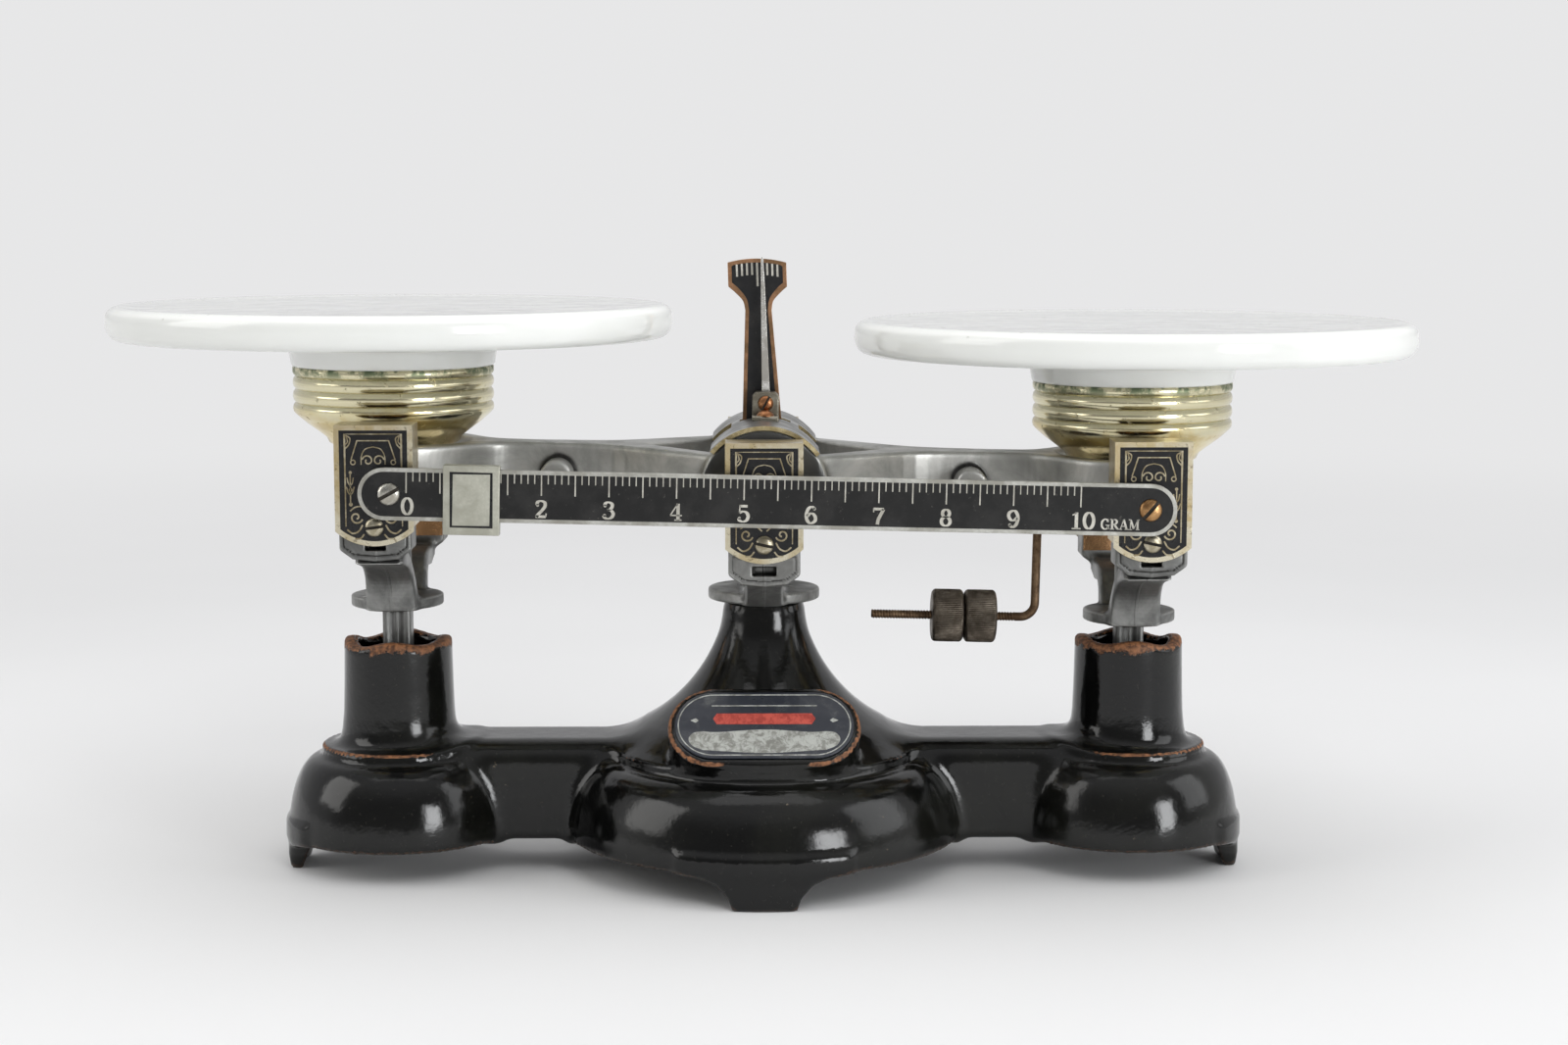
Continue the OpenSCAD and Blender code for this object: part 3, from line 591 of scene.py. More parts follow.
def milk_glass():
    """White opal glass with a few dust specks; its sides are painted darker than its flat top, as painted
    shade.
    """
    f = Finish("milk_glass")
    veil = f.noise(22, 3, 0.5)
    # Painted shade and light: the same glass is darker on the sides and lighter on the flat top.
    side = f.mix(f.step(veil, 0.35, 0.65), rgb(0.735, 0.745, 0.72), rgb(0.765, 0.775, 0.75))
    on_top = f.step(f.axis("Z"), 0.1509, 0.1521)
    tone = f.mix(on_top, side, rgb(0.90, 0.91, 0.88))
    speck = f.math("MULTIPLY", f.step(f.specks(190), 0.10, 0.16, 1.0, 0.0),
                   f.step(f.noise(35, 4, 0.6), 0.5, 0.62))
    tone = f.mix(f.math("MULTIPLY", f.math("MULTIPLY", speck, on_top), 0.7), tone, rgb(0.20, 0.20, 0.12))
    f.bump(veil, 0.05)
    return f.finish(Base_Color=tone, Roughness=f.step(f.noise(90, 4, 0.6), 0.3, 0.7, 0.09, 0.17),
                    Subsurface_Weight=0.35, Subsurface_Radius=(1.0, 1.0, 0.95), Subsurface_Scale=0.004,
                    Coat_Weight=0.3, Coat_Roughness=0.04)


def tarnished_brass():
    """Thin polished brass with dark tarnish spots, greener towards the rim."""
    f = Finish("brass")
    cloud = f.noise(45, 6, 0.6, warp=1.2)
    spots = f.step(f.noise(420, 6, 0.75), 0.60, 0.68)
    high = f.axis("Z")
    tone = f.mix(f.step(cloud, 0.35, 0.68), rgb(0.52, 0.40, 0.17), rgb(0.80, 0.68, 0.36))
    tone = f.mix(f.step(f.math("ADD", high, f.step(cloud, 0.3, 0.7, -0.004, 0.004)), 0.121, 0.128), tone,
                 f.mix(cloud, rgb(0.62, 0.56, 0.36), rgb(0.74, 0.70, 0.50)))
    tone = f.mix(f.math("MULTIPLY", spots, 0.7), tone, rgb(0.12, 0.09, 0.035))
    green = f.math("MULTIPLY", f.step(high, 0.1325, 0.1362), f.step(f.noise(240, 5, 0.7), 0.42, 0.6))
    tone = f.mix(green, tone, rgb(0.13, 0.17, 0.10))
    f.bump(f.noise(700, 3, 0.6), 0.02)
    f.bump(spots, 0.03)
    rough = f.math("ADD", f.step(cloud, 0.3, 0.7, 0.24, 0.14),
                   f.math("MULTIPLY", f.math("MAXIMUM", green, spots), 0.35))
    return f.finish(Base_Color=tone, Metallic=1.0, Roughness=rough)


def gilt():
    """Pale silver-gold of the cover borders, worn through in places."""
    f = Finish("gilt")
    cloud = f.noise(90, 6, 0.65, warp=0.8)
    spots = f.step(f.noise(800, 5, 0.7), 0.55, 0.68)
    tone = f.mix(f.step(cloud, 0.35, 0.65), rgb(0.50, 0.40, 0.22), rgb(0.66, 0.61, 0.47))
    tone = f.mix(f.math("MULTIPLY", spots, 0.7), tone, rgb(0.16, 0.12, 0.06))
    f.bump(spots, 0.02)
    return f.finish(Base_Color=tone, Metallic=0.95, Roughness=f.step(cloud, 0.3, 0.7, 0.42, 0.26))


def black_paint(name, tone_a, tone_b, rough=(0.25, 0.45)):
    """Thin black printing or paint with rubbed spots."""
    f = Finish(name)
    cloud = f.noise(120, 6, 0.65)
    spots = f.step(f.noise(900, 4, 0.7), 0.64, 0.72)
    tone = f.mix(f.step(cloud, 0.4, 0.7), tone_a, tone_b)
    tone = f.mix(f.math("MULTIPLY", spots, 0.45), tone, rgb(0.12, 0.11, 0.10))
    f.bump(cloud, 0.02)
    return f.finish(Base_Color=tone, Roughness=f.step(cloud, 0.3, 0.7, rough[1], rough[0]),
                    Specular_IOR_Level=0.32)


def threaded_bronze():
    f = Finish("rod")
    cloud = f.noise(220, 6, 0.7)
    tone = f.mix(f.step(cloud, 0.35, 0.65), rgb(0.075, 0.042, 0.022), rgb(0.20, 0.13, 0.075))
    f.bump(cloud, 0.05)
    return f.finish(Base_Color=tone, Metallic=0.8, Roughness=f.step(cloud, 0.3, 0.7, 0.62, 0.42))


def table_top():
    """Pale sheet that fades into the even backdrop away from the object."""
    f = Finish("table_top")
    veil = f.noise(3, 3, 0.5)
    tone = f.mix(f.step(veil, 0.3, 0.7), rgb(0.815, 0.815, 0.815), rgb(0.845, 0.845, 0.845))
    f.bump(f.noise(1600, 2, 0.5), 0.01)
    f.finish(Base_Color=tone, Roughness=0.75)
    away = f.add("ShaderNodeVectorMath", {0: f.place}, operation="LENGTH").outputs["Value"]
    far = f.add("ShaderNodeEmission", {"Color": BACKDROP})
    both = f.add("ShaderNodeMixShader", {0: f.step(away, 0.35, 1.3), 1: f.bsdf.outputs[0], 2: far.outputs[0]})
    out = next(n for n in f.tree.nodes if n.type == "OUTPUT_MATERIAL")
    f.tree.links.new(both.outputs[0], out.inputs[0])
    return f.mat


BACKDROP = (0.80, 0.80, 0.805, 1)
# Two tones, from worn to fresh, and the range of roughness of each plain metal and paint
METALS = {
    "steel": dict(light=rgb(0.60, 0.60, 0.58), dark=rgb(0.30, 0.29, 0.27), rough=(0.22, 0.4)),
    "bearing": dict(light=rgb(0.17, 0.17, 0.175), dark=rgb(0.06, 0.06, 0.06), rough=(0.35, 0.5)),
    "nickel": dict(light=rgb(0.62, 0.58, 0.46), dark=rgb(0.33, 0.29, 0.20), rough=(0.25, 0.42), scale=320),
    "copper": dict(light=rgb(0.62, 0.30, 0.14), dark=rgb(0.28, 0.12, 0.055), rough=(0.25, 0.42), scale=260),
    "index_rim": dict(light=rgb(0.50, 0.27, 0.15), dark=rgb(0.22, 0.13, 0.07), rough=(0.3, 0.5), scale=130),
    "gilt_print": dict(light=rgb(0.56, 0.50, 0.36), dark=rgb(0.27, 0.22, 0.13), rough=(0.35, 0.5), scale=420,
                       metallic=0.85),
    "copper_bright": dict(light=rgb(0.86, 0.50, 0.26), dark=rgb(0.55, 0.30, 0.14), rough=(0.16, 0.3),
                          scale=80),
    "sheet": dict(light=rgb(0.50, 0.505, 0.49), dark=rgb(0.24, 0.24, 0.23), rough=(0.3, 0.48), scale=90,
                  brushed=(0.1, 1, 1)),
    "sheet_edge": dict(light=rgb(0.72, 0.62, 0.38), dark=rgb(0.42, 0.34, 0.18), rough=(0.25, 0.4), scale=300),
    "block": dict(light=rgb(0.42, 0.40, 0.33), dark=rgb(0.20, 0.18, 0.14), rough=(0.32, 0.5), scale=260),
    "pointer": dict(light=rgb(0.80, 0.79, 0.76), dark=rgb(0.46, 0.44, 0.40), rough=(0.2, 0.36), scale=240),
    "marks": dict(light=rgb(0.62, 0.60, 0.54), dark=rgb(0.40, 0.385, 0.335), rough=(0.4, 0.6), scale=200,
                  metallic=0.35),
    "silver": dict(light=rgb(0.62, 0.62, 0.58), dark=rgb(0.34, 0.33, 0.29), rough=(0.32, 0.5), scale=120,
                   metallic=0.75),
    "silver_screw": dict(light=rgb(0.66, 0.65, 0.60), dark=rgb(0.36, 0.34, 0.29), rough=(0.22, 0.4),
                         scale=320),
    "brass_screw": dict(light=rgb(0.56, 0.33, 0.15), dark=rgb(0.26, 0.14, 0.06), rough=(0.26, 0.42),
                        scale=320),
    "rider": dict(light=rgb(0.52, 0.52, 0.445), dark=rgb(0.36, 0.355, 0.295), rough=(0.38, 0.52), scale=130,
                  metallic=0.5),
    "nut": dict(light=rgb(0.21, 0.18, 0.145), dark=rgb(0.085, 0.07, 0.055), rough=(0.4, 0.58), scale=260),
}
PAINTS = {
    "panel": dict(tone_a=rgb(0.006, 0.006, 0.007), tone_b=rgb(0.018, 0.018, 0.018), rough=(0.22, 0.4)),
    "scale": dict(tone_a=rgb(0.008, 0.008, 0.008), tone_b=rgb(0.020, 0.0195, 0.019), rough=(0.28, 0.45)),
    "index": dict(tone_a=rgb(0.008, 0.008, 0.009), tone_b=rgb(0.022, 0.021, 0.020), rough=(0.25, 0.4)),
    # Near-black finish for the insides of screw slots: painted shade.
    "slot_shade": dict(tone_a=rgb(0.02, 0.017, 0.013), tone_b=rgb(0.05, 0.042, 0.032), rough=(0.6, 0.8)),
}
M = {
    "enamel": enamel(),
    "label": label_face(),
    "band": label_band("label_band", rgb(0.19, 0.19, 0.17), rgb(0.42, 0.43, 0.40)),
    "red": label_band("worn_red", rgb(0.30, 0.03, 0.02), rgb(0.50, 0.075, 0.05)),
    # Carrier zinc is darker than the beam's: partly its own blue-grey tone, partly painted shade for the
    # carrier backs that lie in shadow.
    "zinc": die_cast("zinc", rgb(0.27, 0.272, 0.262), rgb(0.125, 0.126, 0.122)),
    "zinc_beam": die_cast("zinc_beam", rgb(0.56, 0.555, 0.53), rgb(0.35, 0.35, 0.33), line=False, boss=True),
    "zinc_dark": die_cast("zinc_dark", rgb(0.22, 0.225, 0.22), rgb(0.09, 0.09, 0.088)),
    "zinc_bracket": die_cast("zinc_bracket", rgb(0.36, 0.36, 0.345), rgb(0.18, 0.18, 0.172)),
    "brass": tarnished_brass(),
    "gilt": gilt(),
    "rod": threaded_bronze(),
    "glass": milk_glass(),
}
M |= {name: metal(name, **look) for name, look in METALS.items()}
M |= {name: black_paint(name, **look) for name, look in PAINTS.items()}


# ---------------------------------------------------------------- base

TUBE_TOP = 64
TUBE_Z, TUBE_R = (0, 30, 33, 36, 39, 43, 50, 64), (19.4, 18.0, 17.1, 16.2, 15.65, 15.25, 15.0, 14.7)
SHOULDER = ([(10.68, 71.5)] + arc(55.3, 80.4, 45.5, 191.3, 241.5, 20)[1:] +
            [(36.4, 38.1), (39.4, 35.6), (42.2, 33.7), (42.4, 29), (0, 29), (0, 71.5)])
HOLLOW = ([(10.0, 52)] + arc(55.3, 80.4, 49.0, 205, 241.5, 12) +
          [(34.3, 34.4), (38.9, 30), (38.9, -1), (0, -1), (0, 52)])
FOOT = [(-8.5, 0), (8.5, 0), (9.6, 3.4), (12.6, 6.6), (17, 8.6), (23, 9.6), (23, 14), (-23, 14), (-23, 9.6),
        (-17, 8.6), (-12.6, 6.6), (-9.6, 3.4)]
END_FOOT = [(-7, 0), (7, 0), (8.2, 3.4), (11, 6.8), (20, 9.6), (20, 14), (-20, 14), (-20, 9.6), (-11, 6.8),
            (-8.2, 3.4)]
PAD_Y, PAD_Z, PAD_TILT = -34.5, 45.6, math.radians(45)


def skirt(r_top, r_low, z_top, z_low=9.5):
    """Outline of a bulged skirt, a quarter of an ellipse that ends upright."""
    h, d = z_top - z_low, r_low - r_top
    quarter = arc(0, 0, 1, 90, 0, 16)
    return [(0, z_top)] + [(r_top + d * u, z_low + h * w) for u, w in quarter] + [(0, z_low)]


def base_shape(x, y, z):
    r = np.hypot(x, y)
    ax = np.abs(x)
    q = np.hypot(ax - ARM, y)
    angle = np.arctan2(y, ax - ARM)
    dome = outline_distance(r, z, SHOULDER)
    neck = meet(1.5, r - 10.8, slab(z, 40, 74.5))
    bowl = outline_distance(r, z, skirt(43.4, 54.5, 30.8))
    middle = join(1.6, join(2, dome, neck), bowl)
    bell = outline_distance(q, z, skirt(22.2, 30.8, 31.2))
    plate = meet(1.2, q - 21.3, slab(z, 24, 34.6))
    rim = TUBE_TOP - 1.0 * (1 - np.cos(4 * angle)) * (0.8 + 0.2 * np.sin(angle + 1))
    tube = meet(1.6, (q - np.interp(z, TUBE_Z, TUBE_R)) * 0.99, z - rim, -z)
    end = join(1.8, bell, plate)
    end = join(3, end, tube)
    strap = meet(7, ax - ARM, np.abs(y) - 14, z - 36.6)
    strap = meet(2, strap, 9.5 - z)
    body = join(4.5, join(4.5, middle, strap), end)
    # Pad of the name plate, leaning back on the dome
    v = (y - PAD_Y) * math.cos(PAD_TILT) + (z - PAD_Z) * math.sin(PAD_TILT)
    w = -(y - PAD_Y) * math.sin(PAD_TILT) + (z - PAD_Z) * math.cos(PAD_TILT)
    pad = np.hypot(np.maximum(ax - 13.3, 0), v) - 12.3
    body = join(3, body, meet(1.2, pad, slab(w, -9, -0.8)))
    foot = meet(1.2, outline_distance(ax, z, FOOT), r - 55 + np.clip((4 - z) * 0.12, 0, 0.5), 49 - r)
    end_foot = meet(1.2, outline_distance(y, z, END_FOOT), q - 31.1 + np.clip((4 - z) * 0.15, 0, 0.6),
                    25.3 - q, ARM + 18 - ax)
    body = join(2.5, body, foot, end_foot)
    # Hollow underneath
    void = outline_distance(r, z, HOLLOW)
    void = join(2, void, outline_distance(r, z, skirt(39.9, 51, 28.3, -2)))
    void = join(2, void, meet(1, (q - 27.6 + (z + 1) * 0.27) * 0.96, slab(z, -2, 29)))
    void = join(2, void, meet(1, ax - ARM, np.abs(y) - 10.5, slab(z, -2, 32.5)))
    bore = q - 11
    body = less(0.9, body, void, bore)
    lugs = meet(0.8, ax - 7, slab(np.abs(y), 2, 6.5), slab(z, 13, 53))
    body = join(0.8, body, lugs)
    pin = meet(0.1, np.hypot(x, z - LINK_Z) - 1.5, np.abs(y) - 10)
    counterbore = meet(0.1, r - 5.5, slab(z, 40, 52))
    return less(0.2, body, pin, counterbore, meet(0.1, r - 2.5, z - 90))


cast("base", base_shape, (-134, -58, -1.5), (134, 58, 76), 1.03, "base", M["enamel"],
     ["base_casting"])


def on_pad(points):
    """Turns points drawn flat on the pad into their place; depth is measured outwards."""
    out = []
    for x, depth, v in points:
        out.append((x, PAD_Y + v * math.cos(PAD_TILT) - depth * math.sin(PAD_TILT),
                    PAD_Z + v * math.sin(PAD_TILT) + depth * math.cos(PAD_TILT)))
    return out


def stadium(half, r, n=20):
    return arc(half, 0, r, -90, 90, n) + arc(-half, 0, r, 90, 270, n)


def pad_layer(name, outline, low, high, mat, nodes=(), width=0.0):
    b = Build()
    if width:
        b.strip(outline, width, high, low, closed=True)
    else:
        b.prism(outline, low, high, "y")
    b.verts = on_pad(b.verts)
    return b.done(name, "base", "label", mat, nodes)


plate = pad_layer("label_plate", stadium(13.3, 10.4), -0.8, -0.1, M["label"], ["name_plate"])
soften(plate, 0.2)
half_band = [(12, -2.3), (16.6, -2.1), (19.0, -2.7), (20.0, -4.6), (18.9, -6.6), (16.2, -7.9)]
band = curve(mirrored(list(reversed(half_band))) + [(0, -1.5)] + half_band, 5)
band += curve([(12, -8.2), (0, -8.9), (-12, -8.2)], 6)
rule = [(-13.6, 1.9), (-12.6, 0.2), (12.6, 0.2), (13.6, 1.9), (12.6, 3.6), (-12.6, 3.6)]
pad_layer("label_ribbon", band, -0.3, -0.06, M["band"])
pad_layer("label_rule", rule, -0.3, -0.06, M["red"])
pad_layer("label_fine_rule", [(-14, 5.9), (14, 5.9), (14, 6.2), (-14, 6.2)], -0.3, -0.06, M["band"])
pad_layer("label_line", stadium(13.3, 9.5, 28), -0.3, -0.05, M["band"], width=0.3)
for side in (-1, 1):
    leaf = [(side * x, w) for x, w in [(17.4, 1.4), (18.2, 2.1), (19.6, 1.4), (18.2, 0.7)]]
    pad_layer(f"label_leaf_{'left' if side < 0 else 'right'}", leaf, -0.3, -0.05, M["band"])


# ---------------------------------------------------------------- screws

def screw(name, at, r, rise, slot_w, angle, place, mat, nodes=(), facing=-1, shank=1.2, depth=5):
    """Round slotted screw whose head faces -Y (facing -1) or +Y."""
    b = Build()
    head = [(0, rise), (r * 0.35, rise * 0.97), (r * 0.68, rise * 0.8), (r * 0.9, rise * 0.5),
            (r, rise * 0.12), (r, 0), (shank, 0), (shank, -depth), (0, -depth)]
    b.turned(head, 40, axis="y")
    me = b.mesh(name)
    obj = bpy.data.objects.new(name, me)
    groove = Build()
    groove.box((-r - 1, -rise - 1, -slot_w / 2), (r + 1, -rise * 0.42, slot_w / 2))
    carved(obj, [groove])
    obj.data.materials.append(mat)
    obj.data.materials.append(M["slot_shade"])
    # Faces inside the slot take the second, near-black finish: painted shade in the slot.
    for p in obj.data.polygons:
        c = p.center / MM
        if abs(c.z) <= slot_w / 2 + 0.01 and -rise * 0.85 < c.y < 0 and math.hypot(c.x, c.z) < r - 0.05:
            p.material_index = 1
    turn = Matrix.Rotation(math.radians(-angle), 4, "Y")
    if facing > 0:
        turn = Matrix.Rotation(math.pi, 4, "Z") @ turn
    obj.data.transform(Matrix.Translation([v * MM for v in at]) @ turn)
    obj.data.shade_smooth()
    obj.data.set_sharp_from_angle(angle=math.radians(38))
    return put(obj, place, nodes)


# ---------------------------------------------------------------- bracket and carriers

COVER_Y, COVER_T, COVER_DEPTH, COVER_HALF = 42, 0.8, 11.5, 10.15
LEDGE_OUT, LEDGE_IN = COVER_Y - COVER_T, COVER_Y - COVER_DEPTH
COVER_UP, COVER_H, COVER_R, COVER_SCREW = 17.5, 31.5, 15.3, -9
DROP, BACK_DROP = 2.5, 7


def ledge_shape(x, y, z, low, high, notch):
    ax, ay = np.abs(x), np.abs(y)
    face = outline_distance(ax, z, [(-9.6, high), (-9.6, low + 3.2), (-6, low + 0.6), (0, low),
                                    (6, low + 0.6), (9.6, low + 3.2), (9.6, high)])
    wide = ax - 9.6 + np.clip(z - high + 5.2, 0, 0.5)
    solid = meet(0.9, face, wide, slab(ay, LEDGE_IN, LEDGE_OUT))
    edge = outline_distance(ax, z, [(-8.2, low + 8), (-8.2, low + 4), (-5.6, low + 2), (0, low + 1.5),
                                    (5.6, low + 2), (8.2, low + 4), (8.2, low + 8)])
    panel = meet(0.2, np.abs(edge) - 0.17, slab(ay, LEDGE_OUT - 0.25, LEDGE_OUT + 1))
    window = meet(0.3, ax - notch / 2, slab(ay, LEDGE_OUT - 4, LEDGE_OUT + 1), slab(z, low + 2.9, low + 5.5))
    hole = meet(0.1, np.hypot(x, z - high + 4.5) - 1.2, slab(ay, LEDGE_OUT - 7, LEDGE_OUT + 1))
    return less(0.3, solid, panel, window, hole)


def bracket_shape(x, y, z):
    ax, ay = np.abs(x), np.abs(y)
    r = np.hypot(x, y)
    disc = meet(0.7, r - 15.3, slab(z, 74.5, 77.5))
    side = outline_distance(ay, z, [(38.2, 83.4), (36, 82.5), (16, 74.5), (0, 74.5), (0, 77.5), (12, 79),
                                    (29, 85), (30.5, 87)])
    half = 5.0 + np.clip((18 - ay) * 0.1, 0, 0.6)
    arm = meet(1.2, side, ax - half)
    post = meet(0.6, ax - 6, slab(y, 2.2, 6.2), slab(z, 76, 90.5))
    body = join(1.3, disc, arm, post)
    body = join(1.2, body, ledge_shape(x, y, z, 83.2, PIVOT_Z + COVER_SCREW - DROP + 4.5, 6.3))
    hole = r - 2.5
    for height in (82.4, 88):
        hole = np.minimum(hole, meet(0.1, np.hypot(x, z - height) - 1.1, slab(y, 0, 8)))
    return less(0.2, body, hole)


cast("bracket", bracket_shape, (-17.5, -43, 73), (17.5, 43, 103), 0.5, "base", M["zinc_bracket"],
     ["fulcrum_bracket"])


ARM_CURVE = (curve([(13.4, 70.5), (14.1, 75), (16.4, 79.4), (21, 82.7), (27, 84.6), (36.5, 86.5)], 4) +
             curve([(30.5, 91), (24.5, 89.2), (17, 85), (11, 79.2), (7, 73.6), (6, 70.5)], 3))


def carrier_shape(x, y, z):
    ax, ay = np.abs(x), np.abs(y)
    r = np.hypot(x, y)
    disc = meet(0.6, r - 12.6, slab(z, 70.5, 73.5))
    drop = np.where(y > 0, BACK_DROP, 0.0)
    high = z + drop * np.clip((ay - 11) / 16, 0, 1)
    inner = outline_distance(ay, high, ARM_CURVE)
    half = np.clip(6.9 - (high - 71) * 0.035, 6.3, 6.9)
    arm = meet(1.3, inner, ax - half)
    body = join(1.2, disc, arm)
    body = join(1.4, body, ledge_shape(x, y, z + drop, 87.8, PIVOT_Z + COVER_SCREW + 4.5, 5.4))
    post = meet(0.5, r - 4, slab(z, 70.5, 115.2))
    flange = meet(0.9, r - 9, slab(z, 112.7, 115.2))
    body = join(1.2, body, post, flange)
    stem = meet(1.1, ax - 3.9, ay - 3.5, slab(z, LINK_Z - 4.5, 71))
    groove = meet(1.2, ax - 1.9, 2.7 - ay, slab(z, 33, 69.8))
    body = join(1.0, body, less(1.2, stem, groove))
    fork = meet(0.1, ay - 1.8, z - LINK_Z - 8)
    pin = meet(0.1, np.hypot(x, z - LINK_Z) - 1.8, ay - 10)
    return less(0.2, body, fork, pin, meet(0.1, r - 1.5, 107.2 - z))


for side, word in ((-1, "left"), (1, "right")):
    cast(f"carrier_{word}_casting", carrier_shape, (-13.5, -42.6, 15), (13.5, 42.6, 116.5), 0.5, word,
         M["zinc"], [f"carrier_{word}"])


# ---------------------------------------------------------------- bearing covers

def cover_outline(inset, drop):
    """Square top and a shallow arc at the bottom, about the knife line."""
    low = COVER_UP - COVER_H - drop
    half = COVER_HALF - inset
    r = COVER_R - inset
    a = math.degrees(math.acos(half / r))
    top = PIVOT_Z + COVER_UP - drop - inset
    curved = arc(0, low + COVER_R, r, 180 + a, 360 - a, 20)
    return [(half, top), (-half, top)] + [(u, w + PIVOT_Z) for u, w in curved]


def cover_marks(drop):
    """Lines of the printed decoration, about the middle of the cover: list of (points, width)."""
    lines = []
    top, low = COVER_UP - drop, COVER_UP - COVER_H - drop
    middle = (top + low) / 2
    screw_z = COVER_SCREW - drop

    def both(points, width=0.34):
        lines.append((points, width))
        lines.append((mirrored(points), width))

    # Inner line that follows the border
    both([(0, top - 2.3), (7.3, top - 2.3), (7.3, low + 5.2)], 0.26)
    # Trapezoid with a small ring at each foot, and an arch inside it
    both([(0, top - 4.0), (4.1, top - 4.0), (5.7, top - 9.0)], 0.3)
    both(spiral(5.2, top - 9.6, 0.6, 0.6, 60, 420, 12), 0.3)
    both(curve([(0, top - 5.6), (2.0, top - 6.2), (3.0, top - 8.0), (3.1, top - 10.2)], 5), 0.26)
    both(spiral(1.4, top - 9.2, 1.5, 0.4, 10, 400, 20), 0.36)
    # Corner leaves
    both(curve([(7.0, top - 2.6), (5.9, top - 3.4), (6.2, top - 5.0), (7.1, top - 6.0)], 5), 0.34)
    both(curve([(6.9, top - 2.6), (6.5, top - 4.2), (7.1, top - 5.0)], 5), 0.3)
    # Slender spindles at the sides
    both([(6.0, middle + 3.2), (6.0, middle - 4.6)], 0.32)
    both(curve([(5.2, middle + 2.2), (5.5, middle + 0.7), (6.0, middle + 0.2), (6.5, middle + 0.7),
                (6.8, middle + 2.2)], 4), 0.3)
    both(curve([(5.0, middle - 0.2), (5.4, middle - 1.6), (6.0, middle - 2.2), (6.6, middle - 1.6),
                (7.0, middle - 0.2)], 4), 0.3)
    # Scrolls and petals round the screw
    both(spiral(4.6, screw_z + 2.6, 1.7, 0.35, 200, 620, 22), 0.42)
    both(curve([(0.6, screw_z + 3.6), (1.8, screw_z + 4.6), (3.4, screw_z + 5.4), (4.9, screw_z + 5.2),
                (6.2, screw_z + 4.2)], 5), 0.36)
    both(curve([(3.0, screw_z + 0.6), (4.0, screw_z - 1.0), (5.6, screw_z - 1.6), (7.0, screw_z - 0.6)], 5),
         0.42)
    both(curve([(2.6, screw_z - 1.8), (3.6, screw_z - 2.9), (5.0, screw_z - 3.0)], 5), 0.4)
    both(curve([(0.0, screw_z + 5.0), (0.9, screw_z + 6.2), (0.0, screw_z + 7.6)], 5), 0.34)
    return lines


def bearing_cover(name, place, drop, back, slot_name, nodes):
    """Bent cover with a gilt border, a black panel and a printed flourish."""
    shell = Build()
    shell.prism(cover_outline(0, drop), -COVER_Y, -LEDGE_IN, "y")
    obj = bpy.data.objects.new(f"{name}_sheet", shell.mesh(f"{name}_sheet"))
    hollow = Build()
    low = PIVOT_Z + COVER_UP - COVER_H - drop
    hollow.prism([(COVER_HALF - COVER_T, PIVOT_Z + COVER_UP - drop - COVER_T),
                  (-COVER_HALF + COVER_T, PIVOT_Z + COVER_UP - drop - COVER_T),
                  (-COVER_HALF + COVER_T, low - 2), (COVER_HALF - COVER_T, low - 2)], -LEDGE_OUT, 0, "y")
    skirt_cut = Build()
    skirt_cut.box((-20, -LEDGE_OUT, low - 1), (20, 0, low + 5))
    carved(obj, [hollow, skirt_cut])
    me = obj.data
    me.materials.append(M["gilt"])
    me.materials.append(M["copper_bright"])
    inner = COVER_HALF - COVER_T + 0.05
    for p in me.polygons:
        c = p.center / MM
        if c.y > -LEDGE_OUT - 0.05 and abs(c.x) < inner and c.z < PIVOT_Z + COVER_UP - drop - COVER_T + 0.05 \
                and c.y < -LEDGE_IN - 0.05:
            p.material_index = 1
    if back:
        me.transform(Matrix.Rotation(math.pi, 4, "Z"))
    me.shade_smooth()
    me.set_sharp_from_angle(angle=math.radians(30))
    put(obj, place, nodes)
    soften(obj, 0.3, 2, 40)
    face = Build()
    face.prism(cover_outline(1.35, drop), -COVER_Y - 0.05, -COVER_Y + 0.3, "y")
    lines = Build()
    for points, width in cover_marks(drop):
        lines.strip([(u, w + PIVOT_Z) for u, w in points], width, -COVER_Y - 0.1, -COVER_Y + 0.1)
    for s in (-1, 1):
        for u, w, r in ((5.95, 3.5, 0.42), (5.95, -4.8, 0.5), (5.95, -1.0, 0.5)):
            lines.dot((s * u, PIVOT_Z + (COVER_UP + COVER_UP - COVER_H) / 2 - drop + w), r, -COVER_Y - 0.1,
                      -COVER_Y + 0.1)
    for part, mat, word in ((face, M["panel"], "panel"), (lines, M["gilt_print"], "lines")):
        if back:
            part.verts = [(-x, -y, z) for x, y, z in part.verts]
        part.done(f"{name}_{word}", place, slot_name, mat)


for place, word, drops in (("left", "left", (0, BACK_DROP)), ("right", "right", (0, BACK_DROP)),
                           ("base", "fulcrum", (DROP, DROP))):
    node = "fulcrum_covers" if word == "fulcrum" else f"covers_{word}"
    screws = "fulcrum_cover_screws" if word == "fulcrum" else f"cover_screws_{word}"
    for back, face_word, drop in ((False, "front", drops[0]), (True, "back", drops[1])):
        bearing_cover(f"cover_{word}_{face_word}", place, drop, back, "cover", [node])
        y = COVER_Y if back else -COVER_Y
        screw(f"cover_screw_{word}_{face_word}", (0, y, PIVOT_Z + COVER_SCREW - drop), 2.5, 1.1, 0.8,
              8 if word == "left" else -12, place, M["nickel"], [screws],
              facing=1 if back else -1, shank=1.15)


for word in ("left", "right"):
    sheet = Build()
    sheet.box((-9, LEDGE_IN - 0.35, 85.6), (9, LEDGE_IN + 0.05, 96))
    sheet.done(f"cover_inside_{word}", word, "cover", M["copper_bright"])


# ---------------------------------------------------------------- beam

